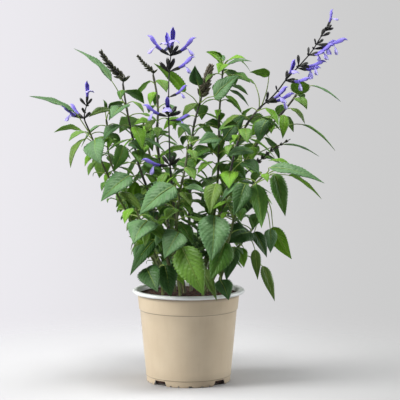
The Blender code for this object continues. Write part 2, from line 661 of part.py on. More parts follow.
def grow_leaf(name, row, stem_routes, stem_trees, trees, parts, material):
    """Place one leaf, shifted just far enough to be clear of all that grew before."""
    route = stem_routes[row[0]]
    others = trees + [tree for stem, tree in stem_trees.items() if stem != row[0]]
    for shift in shifts():
        stalk, blade = leaf_spine(route, row, shift)
        fat = loft(leaf_sections(stalk, blade, row, LEAF_CLEARANCE))
        real = loft(leaf_sections(stalk, blade, row, 0.0))
        clear = is_clear(fat, others) and is_clear(real, [stem_trees[row[0]]])
        fat.free()
        if clear:
            break
        real.free()
    data = bpy.data.meshes.new(name)
    trees.append(BVHTree.FromBMesh(real))
    real.to_mesh(data)
    real.free()
    data.materials.append(material)
    thing = bpy.data.objects.new(name, data)
    parts.objects.link(thing)
    return thing


def make_plant(parts, cutters):
    bark = new_material("stem_bark", (0.20, 0.20, 0.09), 0.55)
    petal = new_material("violet_flower", (0.20, 0.15, 0.70), 0.45)
    bract = new_material("dark_calyx", (0.03, 0.03, 0.02), 0.5)
    foliage = new_material("leaf_green", (0.13, 0.30, 0.10), 0.45)
    routes = {}
    stem_trees = {}
    for name, layout in STEMS.items():
        points = [plant_point(place) for place in layout]
        foot = points[0] + Vector((0, 0, COLLAR_DEPTH + SOIL_DOME + FIT_GAP))
        points[0] = foot + Vector((0, 0, STEM_COLLAR))
        routes[name] = [foot] + smooth_route(points, STEM_STATIONS)
        diameters = (STEM_FOOT_DIAMETER, STEM_TOP_DIAMETER)
        stem_trees[name] = tree_of(tube(name, routes[name], diameters, parts, bark))
    trees = [tree_of(parts.objects["pot"]), tree_of(parts.objects["soil"])]
    for name, plan in FLOWER_SPIKES.items():
        spike = make_flower_spike(name, plan, routes[plan["stem"]], parts, cutters, petal)
        trees.append(tree_of(spike))
    for name, plan in BUD_SPIKES.items():
        spike = make_bud_spike(name, plan, routes[plan[0]], parts, cutters, bract)
        trees.append(tree_of(spike))
    for index, row in enumerate(LEAVES):
        name = f"leaf_{index + 1:02d}"
        grow_leaf(name, row, routes, stem_trees, trees, parts, foliage)


def main():
    clear_scene()
    parts = new_collection("potted_sage")
    cutters = new_collection("cutters")
    make_pot(parts, cutters)
    make_soil(parts)
    bpy.context.view_layer.update()
    make_plant(parts, cutters)


main()
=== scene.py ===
import math
import random

import bmesh
import bpy
import numpy as np
from mathutils import Matrix, Vector
from mathutils.bvhtree import BVHTree


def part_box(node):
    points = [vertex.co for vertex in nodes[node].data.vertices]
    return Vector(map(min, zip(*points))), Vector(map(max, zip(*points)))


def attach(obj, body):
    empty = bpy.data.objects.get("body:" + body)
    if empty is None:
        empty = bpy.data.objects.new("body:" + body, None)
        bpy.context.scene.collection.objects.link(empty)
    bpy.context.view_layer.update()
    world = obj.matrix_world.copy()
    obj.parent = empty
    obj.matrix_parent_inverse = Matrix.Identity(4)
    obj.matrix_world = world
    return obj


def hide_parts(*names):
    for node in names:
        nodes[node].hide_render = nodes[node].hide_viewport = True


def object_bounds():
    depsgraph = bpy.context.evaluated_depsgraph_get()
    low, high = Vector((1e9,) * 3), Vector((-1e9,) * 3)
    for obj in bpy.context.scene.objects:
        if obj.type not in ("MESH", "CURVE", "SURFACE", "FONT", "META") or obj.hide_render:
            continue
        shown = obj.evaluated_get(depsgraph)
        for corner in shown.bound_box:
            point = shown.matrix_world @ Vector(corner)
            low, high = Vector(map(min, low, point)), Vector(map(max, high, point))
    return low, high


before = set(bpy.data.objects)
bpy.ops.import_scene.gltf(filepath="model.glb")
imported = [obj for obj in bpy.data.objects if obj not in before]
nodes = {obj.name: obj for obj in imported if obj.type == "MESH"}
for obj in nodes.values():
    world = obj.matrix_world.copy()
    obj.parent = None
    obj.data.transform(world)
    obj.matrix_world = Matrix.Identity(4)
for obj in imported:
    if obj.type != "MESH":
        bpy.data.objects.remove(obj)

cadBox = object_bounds()
mm = 0.001
dice = random.Random(11)
print("frame loaded,", len(nodes), "nodes")


# small helpers

def deselectAll():
    bpy.ops.object.select_all(action="DESELECT")


def pick(things):
    deselectAll()
    for thing in things:
        thing.select_set(True)
    bpy.context.view_layer.objects.active = things[0]


def applyNow(thing, kind, **settings):
    pick([thing])
    modifier = thing.modifiers.new(kind.lower(), kind)
    for key, value in settings.items():
        setattr(modifier, key, value)
    bpy.ops.object.modifier_apply(modifier=modifier.name)


def joined(things, name):
    pick(things)
    if len(things) > 1:
        bpy.ops.object.join()
    thing = bpy.context.view_layer.objects.active
    thing.name = name
    thing.data.name = name
    return thing


def settle(thing, replaced=()):
    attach(thing, "root")
    if replaced:
        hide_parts(*replaced)


def paint(thing, *materials):
    thing.data.materials.clear()
    for material in materials:
        thing.data.materials.append(material)


def smooth(thing, angle=None):
    pick([thing])
    if angle:
        bpy.ops.object.shade_smooth_by_angle(angle=math.radians(angle))
    else:
        bpy.ops.object.shade_smooth()


def startEdit(thing):
    pick([thing])
    bpy.ops.object.mode_set(mode="EDIT")
    bpy.ops.mesh.select_all(action="SELECT")


def endEdit(merge=0.0, outward=True):
    bpy.ops.mesh.select_all(action="SELECT")
    if merge:
        bpy.ops.mesh.remove_doubles(threshold=merge)
    if outward:
        bpy.ops.mesh.normals_make_consistent(inside=False)
    bpy.ops.object.mode_set(mode="OBJECT")


def linked(name, data):
    thing = bpy.data.objects.new(name, data)
    bpy.context.collection.objects.link(thing)
    return thing


def copyOf(master, place=None):
    twin = master.copy()
    twin.data = master.data.copy()
    if place is not None:
        twin.data.transform(place)
    bpy.context.collection.objects.link(twin)
    return twin


# layout millimetres are stretched as the frame's crown is, and start at the soil's height
layout = {"stretchX": 1.00642, "stretchY": 1.22, "lift": 130.0}


def plantPoint(place):
    x, y, z = place
    return Vector((x * layout["stretchX"], y * layout["stretchY"], z + layout["lift"])) * mm


def smoothPoint(points, share):
    last = len(points) - 1
    place = min(max(share, 0.0), 1.0) * last
    i = min(int(place), last - 1)
    t = place - i
    b, c = points[i], points[i + 1]
    a = points[i - 1] if i > 0 else b * 2 - c
    d = points[i + 2] if i + 2 <= last else c * 2 - b
    return 0.5 * ((2 * b) + (c - a) * t + (2 * a - 5 * b + 4 * c - d) * t * t
                  + (3 * b - a - 3 * c + d) * t * t * t)


def evenLine(points, count, steps=120):
    # evenly spaced points on a smooth curve through the points
    fine = [smoothPoint(points, i / steps) for i in range(steps + 1)]
    lengths = [0.0]
    for before, after in zip(fine, fine[1:]):
        lengths.append(lengths[-1] + (after - before).length)
    shares = np.linspace(0, lengths[-1], count)
    flat = np.array([list(p) for p in fine])
    return [Vector([float(np.interp(s, lengths, flat[:, k])) for k in range(3)]) for s in shares]


def along(line, share):
    place = min(max(share, 0.0), 1.0) * (len(line) - 1)
    i = min(int(place), len(line) - 2)
    return line[i].lerp(line[i + 1], place - i), (line[i + 1] - line[i]).normalized()


def tubes(name, lines, profile=None):
    # one mesh of round or profiled tubes, each a line of points and a radius for each point
    curve = bpy.data.curves.new(name, "CURVE")
    curve.dimensions = "3D"
    curve.use_fill_caps = True
    if profile:
        curve.bevel_mode = "OBJECT"
        curve.bevel_object = profile
    else:
        curve.bevel_depth = 1.0
        curve.bevel_resolution = 2
    for line, radii in lines:
        spline = curve.splines.new("POLY")
        spline.points.add(len(line) - 1)
        for i, place in enumerate(line):
            spline.points[i].co = (*place, 1.0)
            spline.points[i].radius = radii[i]
    pick([linked(name, curve)])
    bpy.ops.object.convert(target="MESH")
    thing = bpy.context.view_layer.objects.active
    startEdit(thing)
    endEdit(merge=0.000005, outward=False)
    smooth(thing, 60)
    return thing


# materials: a new node goes into the tree that its sockets belong to

def isSocket(value):
    return isinstance(value, bpy.types.NodeSocket)


def link(source, target):
    source.id_data.links.new(source, target)


def addNode(kind, settings=None, **inputs):
    # i0, i1 and so on are inputs by number
    tree = next(value for value in inputs.values() if isSocket(value)).id_data
    node = tree.nodes.new(kind)
    for key, value in (settings or {}).items():
        setattr(node, key, value)
    for key, value in inputs.items():
        socket = node.inputs[int(key[1:]) if key[1:].isdigit() else key]
        if isSocket(value):
            link(value, socket)
        else:
            socket.default_value = value
    return node


def calc(operation, *values):
    inputs = {f"i{k}": value for k, value in enumerate(values)}
    return addNode("ShaderNodeMath", {"operation": operation}, **inputs).outputs[0]


def times(first, second):
    return calc("MULTIPLY", first, second)


def offFrom(value, middle):
    return calc("ABSOLUTE", calc("SUBTRACT", value, middle))


def mixed(share, first, second):
    first, second = (value if isSocket(value) else (*value, 1.0) for value in (first, second))
    return addNode("ShaderNodeMix", {"data_type": "RGBA"}, i0=share, i6=first, i7=second).outputs[2]


def fade(value, low, high, atLow=0.0, atHigh=1.0):
    return addNode("ShaderNodeMapRange", {"interpolation_type": "SMOOTHSTEP"},
                   i0=value, i1=low, i2=high, i3=atLow, i4=atHigh).outputs[0]


def noise(coords, scale, detail=3.0, roughness=0.55):
    return addNode("ShaderNodeTexNoise", Vector=coords, Scale=scale, Detail=detail,
                   Roughness=roughness).outputs["Fac"]


def partsOf(coords):
    return addNode("ShaderNodeSeparateXYZ", i0=coords).outputs


def scaled(coords, *scale):
    return addNode("ShaderNodeMapping", Vector=coords, Scale=scale).outputs[0]


def lengthOf(coords):
    return addNode("ShaderNodeVectorMath", {"operation": "LENGTH"}, i0=coords).outputs["Value"]


def uvParts(coords):
    return partsOf(coords.id_data.nodes.new("ShaderNodeUVMap").outputs[0])


def newMaterial(name, roughness, **shaderValues):
    material = bpy.data.materials.new(name)
    material.use_nodes = True
    shader = material.node_tree.nodes["Principled BSDF"]
    shader.inputs["Roughness"].default_value = roughness
    for key, value in shaderValues.items():
        shader.inputs[key.replace("_", " ")].default_value = value
    return material, shader, material.node_tree.nodes.new("ShaderNodeTexCoord").outputs["Object"]


def bump(shader, height, strength, distance):
    node = addNode("ShaderNodeBump", Height=height, Strength=strength, Distance=distance)
    link(node.outputs["Normal"], shader.inputs["Normal"])


# the tones are partly painted light and shade: deep is partly the leaf's own dark green, partly painted shade
# for leaves lying in shadow; lime and under are partly the leaves' own yellow-green, partly painted light
# coming through the leaf; grey is partly the leaf's waxy bloom, partly a painted reflection of the sky
leafTones = {
    # name: shade, light patches, veins
    "grey": ((0.050, 0.148, 0.044), (0.136, 0.270, 0.104), (0.172, 0.315, 0.110)),
    "mid": ((0.032, 0.128, 0.009), (0.088, 0.222, 0.022), (0.145, 0.295, 0.042)),
    "deep": ((0.014, 0.064, 0.008), (0.038, 0.118, 0.020), (0.068, 0.165, 0.032)),
    "olive": ((0.060, 0.140, 0.010), (0.120, 0.220, 0.022), (0.185, 0.285, 0.055)),
    "under": ((0.085, 0.215, 0.016), (0.145, 0.295, 0.034), (0.220, 0.380, 0.080)),
    "lime": ((0.095, 0.270, 0.004), (0.165, 0.370, 0.010), (0.260, 0.470, 0.055)),
}
leafVeins = {"count": 9.0, "slant": 0.30}
# undersides take the brighter tones, partly as painted light coming through the leaf
undersideOf = {"grey": "under", "mid": "under", "deep": "under", "olive": "lime", "lime": "lime",
               "under": "mid"}


def leafMaterial(tone):
    shade, light, vein = leafTones[tone]
    material, shader, coords = newMaterial("leaf_" + tone, 0.50, Specular_IOR_Level=0.36, Sheen_Weight=0.10,
                                           Sheen_Roughness=0.45, Sheen_Tint=(0.90, 1.0, 0.90, 1.0))
    u, v = uvParts(coords)[:2]
    side = times(offFrom(v, 0.5), 2.0)
    slanted = calc("SUBTRACT", u, times(side, leafVeins["slant"]))
    offVein = offFrom(calc("FRACT", times(slanted, leafVeins["count"])), 0.5)
    lateral = times(fade(offVein, 0.02, 0.11, 1.0, 0.0), fade(side, 0.75, 1.0, 0.75, 0.1))
    midrib = fade(side, 0.02, 0.075, 1.0, 0.0)
    blotch = fade(noise(coords, 38.0), 0.35, 0.68)
    pucker = fade(noise(coords, 260.0, 2.0), 0.3, 0.7)
    colour = mixed(calc("ADD", times(blotch, 0.8), times(pucker, 0.2)), shade, light)
    # painted light and shade that follow the blade's relief: lighter on the puffs between the veins, darker
    # in the grooves beside them; the pale veins and midrib are the leaf's own colour
    colour = mixed(times(offVein, 0.9), colour, light)
    colour = mixed(fade(offVein, 0.07, 0.26, 0.36, 0.0), colour, tuple(c * 0.55 for c in shade))
    colour = mixed(times(lateral, 0.75), colour, vein)
    colour = mixed(times(midrib, 0.8), colour, vein)
    link(colour, shader.inputs["Base Color"])
    relief = calc("SUBTRACT", calc("ADD", offVein, times(pucker, 0.35)), times(midrib, 0.5))
    bump(shader, relief, 0.55, 0.0012)
    return material


def stemMaterial(name, low, high, lowHeight, highHeight):
    # greener at the foot, darker up the plant
    material, shader, coords = newMaterial(name, 0.5)
    grain = noise(scaled(coords, 1.0, 1.0, 0.12), 900.0, 4.0)
    colour = mixed(fade(partsOf(coords)[2], lowHeight, highHeight), low, high)
    colour = mixed(fade(grain, 0.35, 0.75, 0.0, 0.45), colour, tuple(c * 0.45 for c in low))
    colour = mixed(fade(noise(coords, 60.0), 0.45, 0.7, 0.0, 0.35), colour,
                   tuple(min(c * 1.7, 1.0) for c in low))
    link(colour, shader.inputs["Base Color"])
    bump(shader, grain, 0.35, 0.0004)
    return material


def petalMaterial(name, deep, pale):
    # the UV map runs from a petal's foot to its tip
    material, shader, coords = newMaterial(name, 0.42, Sheen_Weight=0.25, Sheen_Roughness=0.4)
    share = calc("ADD", fade(uvParts(coords)[0], 0.1, 0.9, 0.05, 0.75),
                 fade(noise(coords, 300.0, 2.0), 0.3, 0.75, 0.0, 0.16))
    link(mixed(share, deep, pale), shader.inputs["Base Color"])
    return material


def fleckedMaterial(name, dark, light, roughness=0.5):
    material, shader, coords = newMaterial(name, roughness)
    link(mixed(fade(noise(coords, 520.0), 0.42, 0.72), dark, light), shader.inputs["Base Color"])
    return material


leafMaterials = {tone: leafMaterial(tone) for tone in leafTones}
stalkGreen = fleckedMaterial("stalk_green", (0.20, 0.31, 0.045), (0.34, 0.44, 0.10), 0.42)
stemGreen = stemMaterial("stem_green", (0.112, 0.145, 0.040), (0.050, 0.048, 0.030), 0.20, 0.42)
stemDark = stemMaterial("stem_dark", (0.110, 0.112, 0.044), (0.026, 0.022, 0.024), 0.16, 0.36)
calyxDark = fleckedMaterial("calyx_dark", (0.010, 0.009, 0.012), (0.045, 0.048, 0.030))
budOlive = fleckedMaterial("bud_olive", (0.045, 0.045, 0.026), (0.150, 0.155, 0.080))
budRose = fleckedMaterial("bud_rose", (0.085, 0.070, 0.050), (0.240, 0.205, 0.140))
petalDeep = petalMaterial("petal_deep", (0.105, 0.070, 0.50), (0.270, 0.220, 0.800))
petalPale = petalMaterial("petal_pale", (0.270, 0.220, 0.780), (0.530, 0.480, 0.930))
print("materials made")


# camera, lights and floor

view = {"place": (0.018, -2.4, 0.490), "aim": (0.0175, 0.0, 0.2752), "lens": 143.6, "sensor": 36.0}
softboxes = {
    # name: place, size, power, tint
    "key_light": ((-2.1, -0.50, 1.05), 1.0, 58.0, (1.0, 0.99, 0.975)),
    "rim_light": ((1.9, 0.65, 0.8), 1.0, 26.0, (0.98, 0.99, 1.0)),
    "top_light": ((0.0, -0.25, 2.1), 0.8, 36.0, (1.0, 1.0, 0.98)),
    "back_light": ((-0.5, 1.9, 1.2), 1.2, 9.0, (1.0, 1.0, 1.0)),
}
# the backdrop is paler on the left, painted light falling off across it, and lights the plant less than it
# shows
studio = {"left": (0.845, 0.83, 0.87), "right": (0.605, 0.605, 0.605), "ambient": (0.224, 0.226, 0.224),
          "lightsAim": (0, 0, 0.28)}
# the floor is painted darker towards the right: painted light falling off across it
floorLook = {"radius": 1.7, "left": (0.56, 0.56, 0.575), "right": (0.42, 0.42, 0.425),
             "fadeOut": (0.16, 0.75)}


def aimed(place, target):
    return (Vector(target) - Vector(place)).to_track_quat("-Z", "Y").to_euler()


bpy.ops.object.camera_add(location=view["place"])
camera = bpy.context.object
camera.rotation_euler = aimed(view["place"], view["aim"])
camera.data.lens = view["lens"]
camera.data.sensor_width = view["sensor"]
bpy.context.scene.camera = camera
bpy.context.scene.view_settings.view_transform = "Standard"

for name, (place, size, power, tint) in softboxes.items():
    bpy.ops.object.light_add(type="AREA", location=place)
    lamp = bpy.context.object
    lamp.name = name
    lamp.rotation_euler = aimed(place, studio["lightsAim"])
    lamp.data.size = size
    lamp.data.energy = power
    lamp.data.color = tint

world = bpy.data.worlds.new("studio")
bpy.context.scene.world = world
world.use_nodes = True
sky = world.node_tree.nodes
direction = partsOf(sky.new("ShaderNodeTexCoord").outputs["Generated"])[0]
backdrop = mixed(fade(direction, -0.15, 0.13), studio["left"], studio["right"])
seen = sky.new("ShaderNodeLightPath").outputs["Is Camera Ray"]
link(mixed(seen, studio["ambient"], backdrop), sky["Background"].inputs[0])

deselectAll()
bpy.ops.mesh.primitive_circle_add(vertices=96, radius=floorLook["radius"], fill_type="NGON")
floor = bpy.context.object
floor.name = "floor"
floorPaper, shader, coords = newMaterial("floor_paper", 0.9)
# painted light: the floor's colour darkens from left to right
link(mixed(fade(partsOf(coords)[0], -0.05, 0.34), floorLook["left"], floorLook["right"]),
     shader.inputs["Base Color"])
link(fade(lengthOf(coords), *floorLook["fadeOut"], 1.0, 0.0), shader.inputs["Alpha"])
paint(floor, floorPaper)
print("camera, lights and floor set")


# pot and soil

potShape = {"shoulder": 0.0773, "foot": 0.0645, "wall": 0.0018, "lipHeight": 0.0055, "lipRound": 0.0026,
            "stepHeight": 0.110, "stepDepth": 0.0016, "skirtHeight": 0.010, "skirtInset": 0.0007,
            "turns": 160, "smoothAngle": 42}
drainShape = {"turn": 3.0, "archWidth": 0.028, "archHeight": 0.0078, "archTaper": 0.68, "slotWidth": 0.003,
              "middleWidth": 0.008, "slotHeight": 0.0026, "slotTaper": 0.6, "reach": 0.006,
              "outside": 0.004, "below": 0.002, "slotAngles": (-27, -16, 0, 16, 27)}
potLook = {"low": (0.600, 0.490, 0.345), "high": (0.645, 0.535, 0.385), "streak": (0.54, 0.43, 0.29),
           "scuff": (0.70, 0.62, 0.49), "dust": (0.33, 0.25, 0.16), "shadedCrease": (0.13, 0.10, 0.07),
           "lipShade": (0.14, 0.105, 0.075), "slot": (0.020, 0.014, 0.009),
           "white": (0.83, 0.86, 0.86), "splash": (0.20, 0.12, 0.08)}


def spun(name, profile, turns):
    mesh = bpy.data.meshes.new(name)
    mesh.from_pydata([(r, 0.0, z) for r, z in profile], [(i, i + 1) for i in range(len(profile) - 1)], [])
    thing = linked(name, mesh)
    startEdit(thing)
    bpy.ops.mesh.spin(steps=turns, angle=math.tau, center=(0, 0, 0), axis=(0, 0, 1))
    endEdit(merge=0.00002)
    return thing


def potWall(height):
    top = potTop - potShape["lipHeight"]
    share = (height - potShape["skirtHeight"]) / (top - potShape["skirtHeight"])
    radius = potShape["foot"] + share * (potShape["shoulder"] - potShape["foot"])
    return radius - (potShape["stepDepth"] * max(share, 0.0) if height < potShape["stepHeight"] else 0.0)


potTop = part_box("pot")[1].z
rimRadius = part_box("pot")[1].x
wall = potShape["wall"]
shoulder = potTop - potShape["lipHeight"]
roll = potShape["lipRound"]
step = potShape["stepHeight"]
foot = potShape["foot"] - potShape["skirtInset"]
innerTop = potShape["shoulder"] - wall
# the inside: floor, step and lip
profile = [(0.0, wall), (foot - wall - 0.003, wall), (foot - wall - 0.0012, wall + 0.0008),
           (foot - wall, wall + 0.003), (potShape["foot"] - wall, 0.012),
           (potWall(step - 0.0005) - wall, step - 0.001), (potWall(step) - wall, step + 0.001),
           (innerTop, shoulder - 0.002), (innerTop + 0.0004, shoulder + 0.002),
           (innerTop + 0.0014, potTop - 0.0013), (innerTop + 0.0030, potTop - 0.0001)]
profile += [(rimRadius - roll + roll * math.cos(a), potTop - roll + roll * math.sin(a))
            for a in (math.radians(90 - 20 * k) for k in range(9))]
# under the lip, down the outside wall and its step, the raised foot
profile += [(rimRadius - 0.0014, shoulder + 0.0004), (rimRadius - 0.0022, shoulder + 0.0008),
            (potShape["shoulder"] + 0.0022, shoulder + 0.0012),
            (potShape["shoulder"] + 0.0008, shoulder + 0.0006), (potShape["shoulder"], shoulder - 0.0008)]
profile += [(potWall(step + k), step + k) for k in (0.018, 0.010, 0.0022, 0.0007)]
profile += [(potWall(step) - 0.0004, step), (potWall(step - 0.001), step - 0.0012)]
profile += [(potWall(z), z) for z in (0.094, 0.075, 0.056, 0.037, 0.022, 0.013, 0.0108)]
profile += [(potShape["foot"] + 0.0003, 0.0102), (potShape["foot"] + 0.0001, 0.0096), (foot, 0.0090),
            (foot, 0.0050), (foot, 0.0014), (foot - 0.0004, 0.0004), (foot - 0.0014, 0.0), (0.0, 0.0)]
pot = spun("nursery_pot", profile, potShape["turns"])

cutters = []
for quarter in range(4):
    middle = math.radians(-90 + drainShape["turn"] + 90 * quarter)
    slots = [(middle + math.pi / 4, *(drainShape[key] for key in ("archWidth", "archHeight", "archTaper")))]
    slots += [(middle + math.radians(a), drainShape["middleWidth" if a == 0 else "slotWidth"],
               drainShape["slotHeight"], drainShape["slotTaper"]) for a in drainShape["slotAngles"]]
    for angle, width, height, taper in slots:
        bpy.ops.mesh.primitive_cube_add(size=1.0)
        block = bpy.context.object
        for vert in block.data.vertices:
            half = width / 2 * (taper if vert.co.z > 0 else 1.0)
            vert.co = Matrix.Rotation(angle, 3, "Z") @ Vector((
                foot + drainShape["outside"] if vert.co.x > 0 else foot - drainShape["reach"],
                half if vert.co.y > 0 else -half, height if vert.co.z > 0 else -drainShape["below"]))
        cutters.append(block)
cutter = joined(cutters, "drain_cutter")
applyNow(pot, "BOOLEAN", operation="DIFFERENCE", object=cutter)
bpy.data.objects.remove(cutter)
smooth(pot, potShape["smoothAngle"])

beige, shader, coords = newMaterial("pot_beige", 0.42)
cloud = noise(coords, 22.0, 4.0)
streaks = noise(scaled(coords, 1.0, 1.0, 0.06), 160.0, 4.0)
height = partsOf(coords)[2]
dust = times(fade(height, 0.0, 0.022, 0.55, 0.0), fade(cloud, 0.3, 0.65))
scuffs = fade(noise(coords, 130.0, 6.0, 0.75), 0.66, 0.74, 0.0, 0.25)
lipShade = fade(height, shoulder - 0.0060, shoulder + 0.0002, 0.0, 0.80)
colour = mixed(fade(cloud, 0.3, 0.7), potLook["low"], potLook["high"])
colour = mixed(fade(streaks, 0.5, 0.75, 0.0, 0.25), colour, potLook["streak"])
colour = mixed(scuffs, colour, potLook["scuff"])
colour = mixed(dust, colour, potLook["dust"])
# painted shade: thin dark lines at the step and at the ridge above the foot, where shade falls in these
# creases
for shadedCrease, reach in ((step - 0.0004, 0.0010), (0.0098, 0.0008)):
    colour = mixed(fade(offFrom(height, shadedCrease), 0.0, reach, 0.75, 0.0), colour, potLook["shadedCrease"])
colour = mixed(lipShade, colour, potLook["lipShade"])
# painted shadow: the faces inside the drain slots are coloured nearly black, as if they lay in shade
slotShadowMask = times(calc("LESS_THAN", lengthOf(scaled(coords, 1.0, 1.0, 0.0)), foot - 0.0005),
               times(calc("GREATER_THAN", height, 0.0002), calc("LESS_THAN", height, 0.0088)))
link(mixed(slotShadowMask, colour, potLook["slot"]), shader.inputs["Base Color"])
bump(shader, noise(coords, 900.0, 2.0), 0.12, 0.0003)

white, shader, coords = newMaterial("pot_white", 0.34)
splash = times(fade(partsOf(coords)[2], 0.129, 0.137, 0.9, 0.08), fade(noise(coords, 55.0, 5.0), 0.40, 0.66))
link(mixed(splash, potLook["white"], potLook["splash"]), shader.inputs["Base Color"])
bump(shader, noise(coords, 700.0, 2.0), 0.10, 0.0003)

paint(pot, beige, white)
for face in pot.data.polygons:
    outward = Vector((face.center.x, face.center.y, 0)).normalized().dot(face.normal)
    outside = face.center.z < shoulder + 0.0002 and (outward > 0.3 or face.center.z < 0.0005)
    face.material_index = 0 if outside else 1
settle(pot, ["pot"])

soilShape = {"drop": 0.0068, "dome": 0.0015, "rings": 22, "turns": 96, "gap": 0.0004, "lumps": 0.0030,
             "lumpReach": 0.97}
soilLook = {"dark": (0.010, 0.005, 0.004), "light": (0.075, 0.028, 0.018), "fibre": (0.13, 0.055, 0.035)}
chipShape = {"count": 330, "inset": 0.004, "sizes": (2.0, 2.6, 3.2, 4.4, 6.0), "tilt": 0.35, "flat": 0.32}
chipLook = {"low": (0.045, 0.017, 0.011), "high": (0.165, 0.070, 0.042), "grain": (0.020, 0.009, 0.007)}
soilLevel = potTop - soilShape["drop"]
soilRadius = potWall(soilLevel) - wall - soilShape["gap"]
rings = soilShape["rings"]
profile = [(soilRadius * k / rings, soilLevel + soilShape["dome"] * (1 - (k / rings) ** 2))
           for k in range(rings + 1)]
profile += [(potWall(z) - wall - soilShape["gap"], z) for z in (0.124, 0.1115, 0.1085, 0.0125)]
profile += [(foot - wall - 0.0010, wall + 0.0030), (foot - wall - 0.004, wall + 0.0005), (0.0, wall + 0.0005)]
soil = spun("soil_bed", profile, soilShape["turns"])
lumpGroup = soil.vertex_groups.new(name="top")
lumpGroup.add([v.index for v in soil.data.vertices if v.co.z > soilLevel - 0.001
               and v.co.xy.length < soilRadius * soilShape["lumpReach"]], 1.0, "REPLACE")
for name, size, strength in (("coarse", 0.011, 1.0), ("fine", 0.0036, 0.55)):
    lumps = bpy.data.textures.new("soil_" + name, "CLOUDS")
    lumps.noise_scale = size
    lumps.noise_depth = 2
    applyNow(soil, "DISPLACE", texture=lumps, texture_coords="LOCAL", direction="Z", mid_level=0.62,
             strength=soilShape["lumps"] * strength, vertex_group="top")

earth, shader, coords = newMaterial("soil_earth", 0.93)
crumbs = noise(coords, 330.0, 5.0, 0.7)
fibres = addNode("ShaderNodeTexVoronoi", Vector=coords, Scale=420.0).outputs[0]
colour = mixed(fade(crumbs, 0.34, 0.68), soilLook["dark"], soilLook["light"])
link(mixed(fade(fibres, 0.1, 0.45, 0.55, 0.0), colour, soilLook["fibre"]), shader.inputs["Base Color"])
bump(shader, crumbs, 0.8, 0.0012)
paint(soil, earth)
smooth(soil)
settle(soil, ["soil"])

bark, shader, coords = newMaterial("soil_bark", 0.88)
grain = noise(scaled(coords, 1.0, 0.25, 1.0), 700.0, 4.0)
colour = mixed(fade(noise(coords, 120.0, 2.0), 0.35, 0.65), chipLook["low"], chipLook["high"])
link(mixed(fade(grain, 0.42, 0.7, 0.0, 0.7), colour, chipLook["grain"]), shader.inputs["Base Color"])
bump(shader, grain, 0.6, 0.0006)

chipMasters = []
for k in range(4):
    deselectAll()
    bpy.ops.mesh.primitive_ico_sphere_add(subdivisions=1, radius=0.5)
    chip = bpy.context.object
    for vert in chip.data.vertices:
        vert.co *= dice.uniform(0.72, 1.12)
        vert.co.z = max(min(vert.co.z, chipShape["flat"]), -chipShape["flat"])
    paint(chip, bark)
    chipMasters.append(chip)
surface = BVHTree.FromObject(soil, bpy.context.evaluated_depsgraph_get())
chips = []
for k in range(chipShape["count"]):
    radius = math.sqrt(dice.random()) * (soilRadius - chipShape["inset"])
    angle = dice.uniform(0, math.tau)
    spot = Vector((radius * math.cos(angle), radius * math.sin(angle), potTop + 0.05))
    hit = surface.ray_cast(spot, Vector((0, 0, -1)))[0]
    size = dice.choice(chipShape["sizes"]) * mm
    turn = Matrix.Rotation(dice.uniform(0, math.tau), 4, "Z")
    for axis in "XY":
        turn = turn @ Matrix.Rotation(dice.gauss(0, chipShape["tilt"]), 4, axis)
    flat = Matrix.Diagonal((size * dice.uniform(0.9, 1.5), size * dice.uniform(0.5, 0.9),
                            size * dice.uniform(0.25, 0.5), 1.0))
    spot = Matrix.Translation(hit + Vector((0, 0, size * 0.10)))
    chips.append(copyOf(chipMasters[k % 4], spot @ turn @ flat))
for chip in chipMasters:
    bpy.data.objects.remove(chip)
settle(joined(chips, "bark_chips"))
print("pot and soil made")


# what the frame's stems and leaves measure

def layersOf(mesh, starts):
    # vertices in order of how many edges they are from the starting ones
    seen = set(starts)
    layers = [list(starts)]
    while layers[-1]:
        following = []
        for vert in layers[-1]:
            for edge in vert.link_edges:
                other = edge.other_vert(vert)
                if other not in seen:
                    seen.add(other)
                    following.append(other)
        layers.append(following)
    return layers[:-1]


ringCorners = 4
stalkRings = 3
spineDrop = 0.13


def weldedNode(name):
    mesh = bmesh.new()
    mesh.from_mesh(nodes[name].data)
    bmesh.ops.remove_doubles(mesh, verts=mesh.verts, dist=0.00002)
    mesh.verts.ensure_lookup_table()
    return mesh


def stemLine(name):
    mesh = weldedNode(name)
    lowest = sorted(mesh.verts, key=lambda v: v.co.z)[:ringCorners]
    line = [sum((v.co for v in layer), Vector()) / len(layer) for layer in layersOf(mesh, lowest)]
    mesh.free()
    return line


def measureLeaf(name):
    # stalk points, blade points, the sideways direction and half the width
    mesh = weldedNode(name)
    oneEnd = layersOf(mesh, [mesh.verts[0]])[-1][0]
    otherEnd = layersOf(mesh, [oneEnd])[-1][0]
    ends = [sorted(mesh.verts, key=lambda v: (v.co - end.co).length)[:ringCorners]
            for end in (oneEnd, otherEnd)]
    ends.sort(key=lambda ring: -sum((v.co - ring[0].co).length for v in ring))
    rings = [[v.co.copy() for v in layer] for layer in layersOf(mesh, ends[0])]
    mesh.free()
    middles = [sum(ring, Vector()) / len(ring) for ring in rings]
    spans = [max(((a, b) for a in ring for b in ring), key=lambda pair: (pair[0] - pair[1]).length)
             for ring in rings]
    widths = [(a - b).length / 2 for a, b in spans]
    widest = max(range(stalkRings, len(rings)), key=lambda i: widths[i])
    edgeMiddle = (spans[widest][0] + spans[widest][1]) / 2
    others = [p for p in rings[widest] if p not in spans[widest]]
    up = (edgeMiddle - sum(others, Vector()) / len(others)).normalized()
    ahead = (middles[-1] - middles[stalkRings]).normalized()
    side = ahead.cross(up).normalized()
    for i in range(stalkRings, len(rings)):
        middles[i] -= up * widths[i] * spineDrop
    return middles[:stalkRings], middles[stalkRings:], side, widths[widest]


